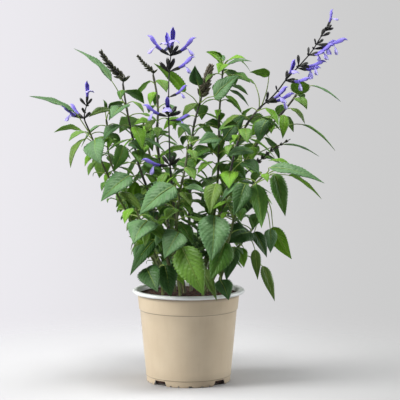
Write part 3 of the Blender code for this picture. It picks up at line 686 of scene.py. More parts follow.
stemNames = [name for name in nodes if name.startswith("stem_")]
stemLines = {name: evenLine(stemLine(name), 48) for name in sorted(stemNames)}
cadTrees = {}
for name, node in nodes.items():
    data = node.data
    cadTrees[name] = BVHTree.FromPolygons([v.co.copy() for v in data.vertices],
                                          [tuple(p.vertices) for p in data.polygons])
print("frame measured")


# leaves

leafShape = {"fine": (64, 10, 16), "light": (24, 4, 12), "toothDepth": 0.17, "fold": 0.24, "quilt": 0.085,
             "groove": 0.09, "droop": 0.14, "thickness": 0.00042, "stalkRadius": 0.0008, "stalkPoints": 12}


def leafOutline(u):
    return (math.sin(math.pi * u ** 0.64) ** 0.84) * (1.0 - 0.34 * u ** 3) if 0 < u < 1 else 0.0


def modelLeaf(name, steps, columns, teeth):
    # a flat blade along +X, one unit long and two wide, veined and toothed
    deselectAll()
    bpy.ops.mesh.primitive_grid_add(x_subdivisions=steps, y_subdivisions=columns, size=2, calc_uvs=True)
    leaf = bpy.context.object
    widest = max(leafOutline(k / 100) for k in range(100))
    for vert in leaf.data.vertices:
        u = (vert.co.x + 1) / 2
        v = vert.co.y
        side = abs(v)
        edge = leafOutline(u) / widest
        half = max(edge, 0.035 * (1 - u) + 0.012)
        if side > 0.99 and 0.06 < u < 0.97:
            half *= 1.0 + leafShape["toothDepth"] * ((u * teeth) % 1.0 - 0.25) * (1.4 - u)
        phase = ((u - leafVeins["slant"] * side) * leafVeins["count"]) % 1.0
        puff = abs(math.cos(math.pi * phase)) * math.sin(math.pi * min(side * 1.02, 1.0)) ** 0.7 * edge
        y = v * half
        z = leafShape["fold"] * abs(y) + leafShape["quilt"] * puff - leafShape["droop"] * side ** 3 * edge
        z -= leafShape["groove"] * math.exp(-(side / 0.12) ** 2) * (1 - u)
        vert.co = (u, y, z)
    leaf.data.update()
    leaf.name = name
    return leaf


fineLeaf = modelLeaf("fine_leaf", *leafShape["fine"])
lightLeaf = modelLeaf("light_leaf", *leafShape["light"])


def layBlade(master, spine, side, half, tone, mood):
    # a copy of the master leaf, carried along its spine
    blade = copyOf(master)
    count = leafShape["light" if master is lightLeaf else "fine"][0] + 1
    centre = np.array([list(p) for p in evenLine(spine, count)])
    ahead = np.gradient(centre, axis=0)
    ahead /= np.linalg.norm(ahead, axis=1)[:, None]
    sides = np.tile(np.array(side), (count, 1))
    sides -= ahead * (sides * ahead).sum(1)[:, None]
    sides /= np.linalg.norm(sides, axis=1)[:, None]
    ups = np.cross(sides, ahead)
    roll = mood["twist"] * (np.linspace(0, 1, count) - 0.3)
    turned = sides * np.cos(roll)[:, None] + ups * np.sin(roll)[:, None]
    ups = ups * np.cos(roll)[:, None] - sides * np.sin(roll)[:, None]
    flat = np.zeros(len(blade.data.vertices) * 3)
    blade.data.vertices.foreach_get("co", flat)
    x, y, z = flat.reshape(-1, 3).T
    at = np.rint(x * (count - 1)).astype(int)
    wave = np.sin(math.tau * (x * 2.6 + mood["phase"] + 0.25 * np.sign(y)))
    rise = z + mood["wave"] * wave * y ** 2 + (mood["cup"] - leafShape["fold"]) * np.abs(y)
    bend = mood["sway"] * np.sin(math.pi * x) - y
    placed = centre[at] + turned[at] * (bend * half)[:, None] + ups[at] * (rise * half)[:, None]
    blade.data.vertices.foreach_set("co", placed.reshape(-1))
    paint(blade, leafMaterials[tone], leafMaterials[undersideOf[tone]])
    return blade


def newMood():
    return {"twist": dice.gauss(0, 0.16), "wave": dice.uniform(0.03, 0.08), "phase": dice.random(),
            "cup": dice.uniform(0.16, 0.34), "sway": dice.gauss(0, 0.10)}


def stalkLine(stalk, blade):
    # through the stalk, then as a thinning rib under the blade
    count = leafShape["stalkPoints"]
    rib = evenLine(blade, count)[1:10]
    radii = [leafShape["stalkRadius"] * (1.15 - 0.35 * k / (count - 1)) for k in range(count)]
    radii += [leafShape["stalkRadius"] * (0.72 - 0.06 * k) for k in range(len(rib))]
    return evenLine(stalk + [blade[0]], count) + rib, radii


def leafPiece(name, rows, replaced=()):
    # rows of stalk points, blade points, side, half width, tone, mood and master leaf
    blades = {}
    for stalk, blade, side, half, tone, mood, master in rows:
        blades.setdefault(tone, []).append(layBlade(master, blade, side, half, tone, mood))
    finished = []
    for tone, group in blades.items():
        sheet = joined(group, name + "_" + tone)
        applyNow(sheet, "SOLIDIFY", thickness=leafShape["thickness"], offset=-1.0, material_offset=1,
                 use_even_offset=False)
        smooth(sheet)
        finished.append(sheet)
    stalks = tubes(name + "_stalks", [stalkLine(row[0], row[1]) for row in rows])
    paint(stalks, stalkGreen)
    settle(joined(finished + [stalks], name), replaced)


frameTones = {"lime": (3, 9, 19, 27, 28, 30), "under": (15, 21), "deep": (12, 13, 17, 31),
              "grey": (1, 2, 5, 8, 10, 11, 14, 16, 23, 29, 26), "olive": (4, 6, 20, 24)}
toneOf = {number: tone for tone, numbers in frameTones.items() for number in numbers}
for number in range(1, 37):
    measured = measureLeaf(f"leaf_{number:02d}")
    leafPiece(f"blade_{number:02d}", [(*measured, toneOf.get(number, "mid"), newMood(), fineLeaf)],
              replaced=[f"leaf_{number:02d}"])
print("frame leaves grown")


# stems

stemShape = {"footWidth": 0.0027, "topWidth": 0.0015, "node": 0.30, "nodeLength": 0.010,
             "nodes": (0.14, 0.30, 0.46, 0.62, 0.76, 0.88, 0.98), "hollows": (1.0, 0.86, 0.78, 0.86),
             "steps": 90, "rooted": 0.003}
darkStems = ("stem_right_flower", "stem_centre_flower", "stem_left_bud", "stem_centre_bud",
             "stem_right_branch", "stem_small_bud")


def squareProfile():
    # a rounded square with hollow sides, one unit across its half
    curve = bpy.data.curves.new("stem_profile", "CURVE")
    curve.dimensions = "2D"
    spline = curve.splines.new("POLY")
    spline.points.add(15)
    for k in range(16):
        angle = math.tau * k / 16
        reach = stemShape["hollows"][(k + 2) % 4]
        spline.points[k].co = (reach * math.cos(angle), reach * math.sin(angle), 0.0, 1.0)
    spline.use_cyclic_u = True
    return linked("stem_profile", curve)


def growStem(name, profile):
    fine = evenLine(stemLines[name], stemShape["steps"])
    radii = []
    for i in range(len(fine)):
        share = i / (len(fine) - 1)
        radius = stemShape["footWidth"] + share * (stemShape["topWidth"] - stemShape["footWidth"])
        for at in stemShape["nodes"]:
            radius *= 1.0 + stemShape["node"] * math.exp(-((share - at) / stemShape["nodeLength"]) ** 2)
        radii.append(radius)
    fine[0] = fine[0] - Vector((0, 0, stemShape["rooted"]))
    stem = tubes("cane_" + name[5:], [(fine, radii)], profile=profile)
    paint(stem, stemDark if name in darkStems else stemGreen)
    settle(stem, [name])


profileCurve = squareProfile()
for name in sorted(stemLines):
    growStem(name, profileCurve)
bpy.data.objects.remove(profileCurve)
print("stems grown")


# flowers: each master lies along +X, its upper side towards +Z, millimetres made metres

calyxShape = {
    # along, radius
    "open": ((0.0, 0.6), (3.0, 0.7), (4.8, 1.35), (8.0, 1.95), (12.0, 2.35), (15.0, 2.55), (17.0, 2.8)),
    "closed": ((0.0, 0.6), (3.2, 0.75), (5.4, 1.4), (9.0, 2.2), (13.0, 2.6), (16.0, 2.3), (18.0, 1.3)),
    "ribs": 0.085, "teeth": 2.4, "pinch": 0.18, "wall": 0.30, "sides": 20,
}
corollaShape = {
    "tube": ((12.0, 0.0, 1.5), (16.5, 0.2, 2.0), (20.5, 0.7, 2.4), (24.5, 1.4, 3.0), (27.0, 1.9, 3.3)),
    "hood": ((24.0, 0, 4.1), (28.5, 0, 6.4), (34.5, 0, 9.9), (40.5, 0, 11.2), (45.6, 0, 8.6)),
    "hoodHalf": (3.1, 3.8, 4.1, 3.4, 0.9), "hoodDepth": (2.8, 4.6, 5.8, 4.8, 1.3),
    "lip": ((24.0, 0, -0.8), (27.6, 0, -2.4), (30.4, 0, -6.0), (32.0, 0, -10.4), (32.4, 0, -14.2)),
    "lipHalf": (3.1, 4.2, 7.6, 8.8, 6.2), "lipDepth": (-1.6, 0.6, 3.2, 4.2, 3.2),
    "style": ((26, 0, 3.0), (34, 0, 7.4), (42, 0, 8.8), (47.0, 0, 6.6)), "styleRadius": 0.00032,
    "sides": 14, "wall": 0.28, "arch": 1.75, "run": (12.0, 46.0),
}


def ringTube(name, rings, sides):
    # a tube pulled out along +X ring by ring: (x, z, radius)
    deselectAll()
    x, z, radius = rings[0]
    bpy.ops.mesh.primitive_circle_add(vertices=sides, radius=radius * mm, rotation=(0, math.pi / 2, 0),
                                      location=(x * mm, 0, z * mm))
    thing = bpy.context.object
    bpy.ops.object.transform_apply(location=True, rotation=True, scale=True)
    startEdit(thing)
    for nextX, nextZ, nextRadius in rings[1:]:
        move = ((nextX - x) * mm, 0, (nextZ - z) * mm)
        bpy.ops.mesh.extrude_region_move(TRANSFORM_OT_translate={"value": move})
        factor = nextRadius / radius
        bpy.ops.transform.resize(value=(1, factor, factor), center_override=(nextX * mm, 0, nextZ * mm))
        x, z, radius = nextX, nextZ, nextRadius
    endEdit()
    thing.name = name
    return thing


def paintRun(thing, low, high):
    # a UV map that runs from foot to tip
    layer = thing.data.uv_layers.get("UVMap") or thing.data.uv_layers.new(name="UVMap")
    for loop in thing.data.loops:
        x = thing.data.vertices[loop.vertex_index].co.x
        layer.data[loop.index].uv = ((x / mm - low) / (high - low), 0.5)


def sheetAlong(name, line, halfWidths, depths, steps):
    # a grid bent to an arched petal: half widths and side depths at its stations
    deselectAll()
    bpy.ops.mesh.primitive_grid_add(x_subdivisions=steps[0], y_subdivisions=steps[1], size=2, calc_uvs=True)
    thing = bpy.context.object
    line = [Vector(p) for p in line]
    stations = np.linspace(0, 1, len(halfWidths))
    for vert in thing.data.vertices:
        u = (vert.co.x + 1) / 2
        centre = smoothPoint(line, u)
        ahead = (smoothPoint(line, u + 0.02) - smoothPoint(line, u - 0.02)).normalized()
        up = Vector((-ahead.z, 0, ahead.x))
        half = float(np.interp(u, stations, halfWidths))
        depth = float(np.interp(u, stations, depths))
        angle = vert.co.y * corollaShape["arch"]
        vert.co = (centre + Vector((0, half * math.sin(angle), 0)) + up * depth * (math.cos(angle) - 1)) * mm
    thing.name = name
    return thing


def modelCalyx(mouth):
    rings = [(x, 0.0, r) for x, r in calyxShape[mouth]]
    calyx = ringTube("calyx_" + mouth, rings, calyxShape["sides"])
    last = rings[-1][0] * mm
    for vert in calyx.data.vertices:
        angle = math.atan2(vert.co.y, vert.co.z)
        rib = math.cos(angle * calyxShape["sides"] / 2) * calyxShape["ribs"]
        vert.co.y *= 1 + rib
        vert.co.z *= 1 + rib
        if vert.co.x > last - 0.0001:
            tooth = abs(math.cos(1.5 * angle)) ** 2.2
            vert.co.x += (tooth * calyxShape["teeth"] - 0.8) * mm
            vert.co.y *= 1.0 - calyxShape["pinch"] * tooth
            vert.co.z *= 1.0 - calyxShape["pinch"] * tooth
    applyNow(calyx, "SOLIDIFY", thickness=calyxShape["wall"] * mm, offset=-1.0)
    paint(calyx, calyxDark)
    return calyx


def modelCorolla():
    shape = corollaShape
    tube = ringTube("corolla_tube", shape["tube"], shape["sides"])
    hood = sheetAlong("corolla_hood", shape["hood"], shape["hoodHalf"], shape["hoodDepth"], (12, 8))
    lip = sheetAlong("corolla_lip", shape["lip"], shape["lipHalf"], shape["lipDepth"], (12, 10))
    for vert in lip.data.vertices:        # a notch between the lobes at the lip's end
        if vert.co.z < -0.0095:
            side = abs(vert.co.y) / 0.0035
            lobe = 0.0012 * math.exp(-((side - 0.7) / 0.3) ** 2)
            vert.co.z += 0.0022 * math.exp(-(side / 0.35) ** 2) - lobe
    for thing, material, offset in ((tube, petalDeep, -1.0), (hood, petalDeep, -1.0), (lip, petalPale, 0.0)):
        paintRun(thing, *shape["run"])
        applyNow(thing, "SOLIDIFY", thickness=shape["wall"] * mm, offset=offset)
        paint(thing, material)
    style = tubes("style", [([Vector(p) * mm for p in shape["style"]], [shape["styleRadius"]] * 4)])
    paint(style, petalPale)
    paintRun(style, *shape["run"])
    corolla = joined([tube, hood, lip, style], "corolla_master")
    applyNow(corolla, "SUBSURF", levels=1, render_levels=1)
    smooth(corolla)
    return corolla


def modelScale(name, length, width, material):
    # a small pointed body for buds and bracts, along +X
    deselectAll()
    bpy.ops.mesh.primitive_uv_sphere_add(segments=8, ring_count=6, radius=0.5, rotation=(0, math.pi / 2, 0))
    bract = bpy.context.object
    bpy.ops.object.transform_apply(location=True, rotation=True, scale=True)
    for vert in bract.data.vertices:
        u = vert.co.x + 0.5
        pinch = (1.0 - 0.75 * max(u - 0.35, 0) ** 1.2)
        vert.co = Vector((u * length, vert.co.y * width * pinch, vert.co.z * width * 0.62 * pinch)) * mm
    paint(bract, material)
    bract.name = name
    smooth(bract)
    return bract


def facing(start, way, size):
    # +X along way, +Z as near upright as it can be
    ahead = Vector(way).normalized()
    side = ahead.cross(Vector((0, 0, 1)))
    side = side.normalized() if side.length > 0.2 else Vector((1, 0, 0))
    lift = side.cross(ahead)
    turn = Matrix((ahead, -side, lift)).transposed().to_4x4()
    return Matrix.Translation(start) @ turn @ Matrix.Scale(size, 4)


openCalyx = modelCalyx("open")
closedCalyx = modelCalyx("closed")
corollaMaster = modelCorolla()
budMaster = modelScale("bud_master", 8.5, 2.9, petalDeep)
paintRun(budMaster, 0.0, 12.0)
bractMaster = modelScale("bract_master", 6.5, 3.4, budOlive)
darkBractMaster = modelScale("dark_bract_master", 5.5, 3.0, calyxDark)
roseBractMaster = modelScale("rose_bract_master", 6.5, 3.4, budRose)

flowerSpikes = {
    # flowers and empty calyces: share of the route, direction, size
    "centre": {
        "stem": "stem_centre_flower",
        "route": [(-27, -18, 201), (-29, -16, 271), (-29, -14, 310), (-28, -12, 341), (-24, -12, 377)],
        "open": [
            (0.07, (-0.95, -0.25, 0.05), 0.95), (0.45, (-0.95, -0.10, 0.26), 0.9),
            (0.46, (-0.05, -0.80, 0.60), 0.85), (0.80, (0.92, -0.10, 0.34), 0.95),
            (0.92, (-0.84, 0.00, 0.52), 1.0), (0.93, (-0.30, -0.34, 0.90), 0.75),
            (0.93, (0.12, -0.50, 0.86), 0.95), (0.92, (0.88, 0.05, 0.44), 1.0),
            (0.93, (-0.15, 0.80, 0.58), 0.85), (0.60, (0.82, -0.10, 0.34), 0.72),
            (0.42, (0.95, -0.20, 0.08), 0.72),
        ],
        "calyx": [
            (0.07, (-0.62, 0.25, 0.74), 1.0), (0.07, (0.80, -0.10, 0.58), 1.0),
            (0.07, (0.25, 0.85, 0.40), 0.9), (0.07, (0.34, -0.40, 0.86), 0.95),
            (0.45, (-0.45, 0.35, 0.80), 0.9), (0.45, (0.58, -0.25, 0.78), 1.05),
            (0.45, (0.90, 0.10, 0.38), 1.05), (0.46, (0.12, 0.20, 0.96), 0.8),
            (0.79, (-0.66, -0.10, 0.74), 1.1), (0.80, (-0.12, -0.20, 0.97), 1.1),
            (0.80, (0.36, 0.10, 0.92), 1.1), (0.92, (0.58, -0.15, 0.80), 1.0),
            (0.80, (-0.20, 0.80, 0.56), 0.85),
        ],
    },
    "right": {
        "stem": "stem_right_flower",
        "route": [(120, -16, 297), (133, -15, 311), (146, -13, 328), (166, -12, 349), (183, -12, 369),
                  (191, -12, 382), (206, -12, 406)],
        "open": [
            (0.05, (0.80, -0.36, 0.40), 0.9), (0.05, (0.95, -0.10, 0.12), 0.95),
            (0.33, (0.93, -0.30, -0.10), 0.85), (0.34, (0.42, -0.55, 0.72), 0.8),
            (0.52, (0.97, -0.20, 0.00), 0.9), (0.50, (0.88, 0.38, -0.16), 0.85),
            (0.66, (0.90, -0.30, 0.22), 0.9), (0.67, (0.78, -0.50, -0.02), 0.6),
            (0.79, (0.99, -0.06, -0.02), 1.02), (0.74, (0.90, 0.34, 0.14), 0.85),
            (0.97, (0.46, -0.10, 0.86), 0.66),
        ],
        "calyx": [
            (0.06, (0.10, 0.20, 0.95), 0.8), (0.20, (-0.20, -0.30, 0.90), 0.5),
            (0.34, (0.15, 0.30, 0.92), 0.8), (0.34, (0.90, 0.40, 0.05), 0.85),
            (0.52, (-0.05, -0.15, 0.98), 0.9), (0.52, (0.85, -0.40, 0.35), 0.85),
            (0.66, (0.92, -0.20, 0.30), 0.85), (0.66, (0.05, 0.35, 0.92), 0.7),
            (0.79, (0.72, 0.40, 0.50), 0.8), (0.79, (-0.25, -0.20, 0.93), 0.5),
            (0.88, (0.88, -0.20, 0.40), 0.8), (0.88, (0.40, -0.40, 0.80), 0.8),
            (0.88, (0.30, 0.45, 0.80), 0.75), (0.95, (0.90, -0.20, 0.25), 0.7),
            (0.95, (0.72, -0.30, 0.62), 0.7), (0.96, (0.75, 0.40, 0.50), 0.6),
        ],
    },
    "left": {
        "stem": "stem_far_left",
        "route": [(-154, -14, 268), (-153, -13, 280), (-150, -12, 291)],
        "open": [
            (0.40, (-0.90, -0.25, 0.32), 0.85), (0.42, (-0.70, 0.55, 0.45), 0.75),
            (0.92, (0.10, -0.20, 0.96), 0.80),
        ],
        "calyx": [
            (0.40, (0.60, -0.40, 0.60), 0.8), (0.42, (0.50, 0.65, 0.55), 0.8),
            (0.90, (-0.62, -0.10, 0.76), 0.8), (0.90, (0.55, 0.30, 0.76), 0.75),
            (0.62, (-0.20, -0.80, 0.55), 0.75),
        ],
    },
}


def rachisAlong(line, footRadius, thinning, material):
    last = len(line) - 1
    rachis = tubes("rachis", [(line, [footRadius - thinning * k / last for k in range(last + 1)])])
    paint(rachis, material)
    return rachis


def growFlowerSpike(side, plan):
    tip, ahead = along(stemLines[plan["stem"]], 1.0)
    line = evenLine([tip - ahead * 0.001] + [plantPoint(p) for p in plan["route"]], 40)
    darkParts, petals = [rachisAlong(line, 0.00125, 0.00045, calyxDark)], []
    flowers = [(row, True) for row in plan["open"]] + [(row, False) for row in plan["calyx"]]
    for (share, way, size), isOpen in flowers:
        place = facing(along(line, share)[0], way, size)
        darkParts.append(copyOf(openCalyx if isOpen else closedCalyx, place))
        if isOpen:
            petals.append(copyOf(corollaMaster, place))
        elif dice.random() < 0.4:        # a bud just showing in the calyx
            petals.append(copyOf(budMaster, place @ Matrix.Translation((9.5 * mm, 0, 0))))
    for share in sorted({row[0] for row in plan["open"] + plan["calyx"]}):
        point, way = along(line, share)
        for k in range(2):
            out = Matrix.Rotation(math.pi * k + dice.random(), 3, way) @ way.orthogonal()
            darkParts.append(copyOf(darkBractMaster, facing(point, out + way * 0.6, 1.0)))
    settle(joined(darkParts, f"calyces_{side}"), [f"flower_spike_{side}"])
    settle(joined(petals, f"petals_{side}"), [f"flower_spike_{side}"])


for side, plan in flowerSpikes.items():
    growFlowerSpike(side, plan)
print("flower spikes grown")

budSpikes = {
    # stem, share of it, tip, width of the lowest whorl, whorls, the two kinds of bract
    "left": ("stem_left_bud", 1.0, (-132, 8, 369), 20.0, 9, darkBractMaster, bractMaster),
    "small": ("stem_small_bud", 1.0, (-78, 42, 363), 13.0, 8, darkBractMaster, bractMaster),
    "centre": ("stem_centre_bud", 1.0, (34, 16, 347), 23.0, 8, roseBractMaster, roseBractMaster),
    "right": ("stem_right_branch", 0.56, (153, 6, 237), 13.0, 8, darkBractMaster, bractMaster),
}


def growBudSpike(side, stem, share, tip, width, whorls, *bracts):
    start, ahead = along(stemLines[stem], share)
    end = plantPoint(tip)
    if share < 1.0:
        ahead = ((end - start) - ahead * (end - start).dot(ahead)).normalized()
    line = evenLine([start, start + ahead * (end - start).length * 0.12, start.lerp(end, 0.6), end], 30)
    parts = [rachisAlong(line, 0.0012, 0.0006, stemDark)]
    first = 0.30 if share < 1.0 else 0.06
    for i in range(whorls):
        fullness = 1.0 - 0.62 * i / whorls
        point, way = along(line, first + (0.98 - first) * i / whorls)
        for k in range(6):
            out = Matrix.Rotation(math.tau * (k + 0.5 * (i % 2)) / 6 + dice.gauss(0, 0.12), 3, way)
            out = out @ way.orthogonal().normalized()
            lean = out * (0.25 + 0.75 * fullness) + way * (1.0 + 0.5 * i / whorls)
            size = width / 12.0 * (0.55 + 0.75 * fullness) * dice.uniform(0.88, 1.1)
            parts.append(copyOf(bracts[(k + i) % 2], facing(point, lean, size)))
    settle(joined(parts, f"buds_{side}"), [f"bud_spike_{side}"])


for side, plan in budSpikes.items():
    growBudSpike(side, *plan)
for master in (openCalyx, closedCalyx, corollaMaster, budMaster, bractMaster, darkBractMaster,
               roseBractMaster):
    bpy.data.objects.remove(master)
print("bud spikes grown")


# the leaves that the frame doesn't hold

moreLeaves = [
    # stem, share, blade's start and tip, width, tone, the way its upper side faces
    ("left_bud", 0.88, (-95, 0, 288), (-113, -35, 270), 28, "grey", (-0.3, -0.6, 0.7)),
    ("left_bud", 0.80, (-102, -5, 257), (-125, -20, 237), 22, "grey", (-0.3, -0.5, 0.8)),
    ("low_left", 0.70, (-54, -40, 85), (-87, -50, 97), 18, "lime", (0.1, -0.9, 0.3)),
    ("low_right", 0.35, (69, -30, 74), (56, -50, 31), 24, "deep", (0.0, -0.8, 0.5)),
    ("low_right", 0.50, (75, -12, 74), (83, -16, 45), 20, "lime", (0.2, -0.9, 0.2)),
    ("low_right", 0.75, (99, -8, 98), (117, -20, 61), 20, "deep", (0.3, -0.8, 0.4)),
    ("low_right", 0.92, (123, 0, 101), (123, -8, 66), 20, "grey", (0.2, -0.8, 0.4)),
    ("low_right", 0.60, (99, -20, 73), (103, -28, 29), 15, "olive", (0.1, -0.9, 0.3)),
    ("front", 0.25, (19, -45, 50), (42, -78, 6), 18, "olive", (0.2, -0.8, 0.4)),
    ("right_leafy", 0.22, (47, -62, 34), (59, -78, 7), 26, "deep", (0.1, -0.8, 0.6)),
    ("right_branch", 0.62, (143, 10, 229), (196, 0, 211), 18, "grey", (0.3, -0.1, 0.95)),
    ("right_branch", 0.85, (144, 10, 273), (141, 0, 238), 16, "lime", (0.3, -0.8, 0.1)),
    ("right_branch", 0.60, (117, 4, 266), (105, -10, 232), 26, "grey", (-0.4, -0.6, 0.6)),
    ("right_branch", 0.64, (118, 18, 262), (92, 10, 240), 22, "lime", (-0.2, -0.8, 0.4)),
    ("centre_bud", 0.98, (15, -10, 318), (10, -25, 348), 20, "deep", (-0.2, -0.9, 0.3)),
    ("tall_leafy", 0.90, (62, 0, 311), (90, -5, 287), 12, "grey", (0.5, -0.4, 0.7)),
    ("tall_leafy", 0.86, (56, 12, 302), (80, 8, 279), 10, "lime", (0.3, -0.5, 0.7)),
    ("tall_leafy", 1.00, (57, 4, 348), (94, -8, 354), 16, "grey", (0.0, -0.4, 0.9)),
    ("tall_leafy", 1.00, (66, 12, 360), (93, 16, 339), 9, "mid", (0.4, -0.2, 0.9)),
    ("tall_leafy", 1.00, (50, -4, 352), (26, -12, 368), 15, "lime", (0.2, -0.7, 0.6)),
    ("tall_leafy", 1.00, (60, -8, 356), (84, -26, 358), 15, "lime", (0.1, -0.6, 0.8)),
    ("tall_leafy", 1.00, (54, -8, 350), (44, -36, 336), 17, "lime", (0.0, -0.6, 0.8)),
    ("tall_leafy", 1.00, (52, 8, 354), (38, 28, 362), 14, "grey", (0.0, -0.4, 0.9)),
    ("tall_leafy", 0.94, (66, -4, 334), (92, -16, 322), 18, "mid", (0.1, -0.6, 0.8)),
    ("right_flower", 1.00, (119, -20, 332), (90, -32, 338), 22, "lime", (0.0, 0.5, 0.85)),
    ("right_flower", 0.98, (99, -5, 320), (72, -8, 329), 9, "mid", (0.0, -0.4, 0.9)),
    ("front", 1.00, (45, -26, 240), (15, -40, 233), 24, "grey", (0.1, -0.7, 0.7)),
    ("right_branch", 0.50, (95, -20, 222), (56, -45, 214), 22, "grey", (0.0, -0.6, 0.8)),
    ("right_branch", 0.45, (68, -5, 237), (95, -10, 231), 14, "mid", (0.0, -0.5, 0.8)),
    ("front", 1.00, (4, -32, 246), (-18, -38, 263), 14, "grey", (0.3, -0.6, 0.7)),
    ("small_bud", 0.70, (-30, 38, 246), (-57, 30, 234), 10, "mid", (0.0, -0.5, 0.8)),
    ("small_bud", 0.75, (-58, 32, 249), (-54, 22, 217), 17, "mid", (-0.3, -0.8, 0.3)),
    ("front", 0.70, (-4, -52, 170), (27, -62, 162), 14, "grey", (0.1, -0.6, 0.8)),
    ("right_leafy", 0.60, (41, -60, 176), (32, -78, 134), 26, "olive", (-0.2, -0.8, 0.4)),
    ("right_leafy", 0.72, (83, -68, 176), (66, -85, 132), 28, "deep", (0.0, -0.8, 0.5)),
    ("right_branch", 0.30, (90, 2, 150), (78, -8, 120), 20, "deep", (0.2, -0.8, 0.4)),
    ("right_leafy", 1.00, (147, -50, 203), (117, -55, 209), 11, "lime", (0.0, -0.5, 0.8)),
    ("left_leafy", 1.00, (-126, 28, 278), (-129, 24, 296), 8, "mid", (0.5, -0.6, 0.5)),
    ("low_left", 0.20, (-22, -34, 44), (-6, -44, 22), 12, "lime", (0.2, -0.8, 0.5)),
    ("low_left", 0.30, (-34, -52, 54), (-25, -66, 10), 33, "deep", (0.1, -0.9, 0.4)),
    ("left_leafy", 0.86, (-112, 26, 236), (-120, 10, 222), 14, "lime", (-0.3, -0.6, 0.6)),
    ("small_bud", 0.62, (-60, 48, 262), (-84, 44, 256), 15, "lime", (0.0, -0.5, 0.8)),
    ("centre_bud", 0.72, (-14, 22, 268), (-38, 16, 250), 18, "lime", (-0.2, -0.5, 0.8)),
    ("centre_bud", 0.80, (28, 26, 262), (52, 18, 248), 20, "mid", (0.2, -0.6, 0.7)),
    ("tall_leafy", 0.60, (30, 4, 224), (4, -8, 206), 24, "mid", (-0.2, -0.6, 0.7)),
    ("tall_leafy", 0.50, (58, 2, 198), (86, -8, 176), 28, "mid", (0.2, -0.6, 0.7)),
    ("right_flower", 0.62, (80, -32, 206), (104, -48, 188), 26, "deep", (0.2, -0.6, 0.7)),
    ("right_flower", 0.80, (72, -26, 262), (44, -34, 252), 22, "mid", (-0.1, -0.5, 0.8)),
    ("centre_flower", 0.70, (-36, -24, 158), (-62, -36, 144), 28, "mid", (-0.2, -0.6, 0.7)),
    ("centre_flower", 0.95, (-14, -26, 206), (12, -36, 190), 26, "mid", (0.2, -0.6, 0.7)),
    ("left_bud", 0.40, (-62, -4, 150), (-94, -14, 128), 30, "deep", (-0.2, -0.6, 0.7)),
    ("left_bud", 0.62, (-62, 4, 206), (-40, -8, 188), 26, "mid", (0.2, -0.6, 0.7)),
    ("left_bud", 0.74, (-88, 0, 232), (-66, -8, 218), 20, "grey", (0.2, -0.6, 0.7)),
]
fillers = {"perStem": 15, "from": 0.16, "over": 0.80, "stalk": (8, 20), "blade": (36, 66),
           "wide": (0.48, 0.62), "tries": 9, "margin": 0.006, "skirt": 0.086, "flareFrom": 0.215,
           "flare": 0.62, "nearSoil": 0.11, "frontFloor": 0.185, "backFloor": 0.150}
# lower half of a stem, upper half
tonePools = (("mid", "deep", "mid", "grey", "deep", "olive"),
             ("lime", "under", "grey", "under", "mid", "lime", "olive"))
# x from and to, z from and to: flowers that no filling leaf grows in front of
keepClear = ((-0.056, -0.004, 0.325, 0.362), (-0.056, 0.010, 0.395, 0.570), (-0.150, -0.085, 0.445, 0.540),
             (0.004, 0.052, 0.425, 0.500), (0.115, 0.250, 0.420, 0.600))


def coarseBlade(spine, side, half):
    # a light stand-in for a blade, to test what it would cut through
    corners, faces = [], []
    for i, place in enumerate(evenLine(spine, 7)):
        reach = half * max(leafOutline(i / 6), 0.08)
        corners += [place - side * reach, place, place + side * reach]
        if i:
            faces += [(3 * i - 3, 3 * i - 2, 3 * i + 1, 3 * i), (3 * i - 2, 3 * i - 1, 3 * i + 2, 3 * i + 1)]
    return BVHTree.FromPolygons(corners, faces)


def bladeFor(stemName, share, base, tip, width, face, arch=4.0):
    node, ahead = along(stemLines[stemName], share)
    out = (base - node) - ahead * (base - node).dot(ahead)
    foot = node + out.normalized() * 0.001
    bow = Vector(face).normalized() * arch * mm
    stalk = [foot, foot.lerp(base, 0.35) + ahead * (base - foot).length * 0.08,
             foot.lerp(base, 0.7) + ahead * (base - foot).length * 0.06]
    blade = evenLine([base, base.lerp(tip, 0.35) + bow, base.lerp(tip, 0.7) + bow * 0.8, tip], 9)
    return stalk, blade, (tip - base).cross(Vector(face)).normalized(), width * mm / 2


def addIfClear(key, stemName, trial, tones, master):
    # grows the blade unless it would cut through a piece other than its own stem
    tree = coarseBlade(*trial[1:])
    if any(tree.overlap(other) for name, other in obstacles.items() if name != stemName):
        return False
    obstacles[key] = tree
    tone = tones if isinstance(tones, str) else dice.choice(tones)
    grown.setdefault(stemName[5:], []).append((*trial, tone, newMood(), master))
    return True


obstacles = dict(cadTrees)
grown = {}
low, high = cadBox
shiftWays = [Vector(way) for way in ((0, -1, 0), (0, 1, 0), (0, 0, 1), (1, 0, 0), (-1, 0, 0))]
shifts = [(step, way) for step in (0, 3, 6, 9, 13, 17, 22, 28, 34) for way in shiftWays]
for index, (stem, share, base, tip, width, tone, face) in enumerate(moreLeaves):
    for step, way in shifts:
        shift = way * step * mm
        start, end = plantPoint(base) + shift, plantPoint(tip) + shift
        trial = bladeFor("stem_" + stem, share, start, end, width, face)
        if addIfClear(f"more_{index}", "stem_" + stem, trial, tone, fineLeaf):
            break
    else:
        print("no room for leaf", index, stem)


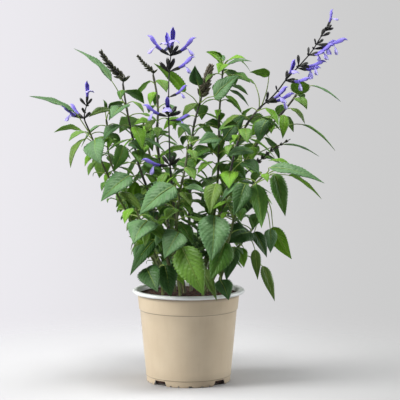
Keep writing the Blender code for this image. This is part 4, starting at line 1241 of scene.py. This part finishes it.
def misplaced(base, tip):
    # too low by the pot, outside the plant's outline, in front of a flower or past the frame's box
    floorHeight = fillers["frontFloor" if tip.y < 0.02 else "backFloor"]
    if tip.z < low.z + floorHeight and tip.xy.length < fillers["nearSoil"]:
        return True
    if abs(tip.x) > fillers["skirt"] + max(tip.z - fillers["flareFrom"], 0.0) * fillers["flare"]:
        return True
    middle = base.lerp(tip, 0.5)
    if middle.y < -0.015 and any(x0 < middle.x < x1 and z0 < middle.z < z1 for x0, x1, z0, z1 in keepClear):
        return True
    return any(tip[i] < low[i] + fillers["margin"] or tip[i] > high[i] - fillers["margin"] for i in range(3))


def growFiller(stemName, share, turn):
    # one leaf, at the first of its tries that finds room
    node = along(stemLines[stemName], share)[0]
    for attempt in range(fillers["tries"]):
        angle = turn + dice.gauss(0, 0.35)
        out = Vector((math.cos(angle), math.sin(angle), 0))
        base = node + (out + Vector((0, 0, dice.uniform(0.1, 0.6)))) * dice.uniform(*fillers["stalk"]) * mm
        length = dice.uniform(*fillers["blade"]) * (1.0 - 0.35 * share) * (1.0 - 0.1 * attempt)
        sway = out + Vector((dice.gauss(0, 0.2), dice.gauss(0, 0.2), -dice.uniform(0.45, 1.15)))
        tip = base + sway.normalized() * length * mm
        if misplaced(base, tip):
            continue
        face = out * 0.75 + Vector((0, 0, 0.65))
        trial = bladeFor(stemName, share, base, tip, length * dice.uniform(*fillers["wide"]), face, 3.0)
        if addIfClear(f"filler_{len(obstacles)}", stemName, trial, tonePools[share > 0.5], lightLeaf):
            return True
    return False


made = 0
for stemName in sorted(stemLines):
    turn = dice.uniform(0, math.pi)
    for k in range(fillers["perStem"]):
        share = fillers["from"] + fillers["over"] * k / (fillers["perStem"] - 1)
        turn += math.pi / 2 + 0.2
        for pair in range(2):
            made += growFiller(stemName, share, turn + math.pi * pair)
for stem, rows in sorted(grown.items()):
    leafPiece("leaves_" + stem, rows)
print("more leaves grown:", sum(len(rows) for rows in grown.values()), "of which filler", made)

for master in (fineLeaf, lightLeaf):
    bpy.data.objects.remove(master)
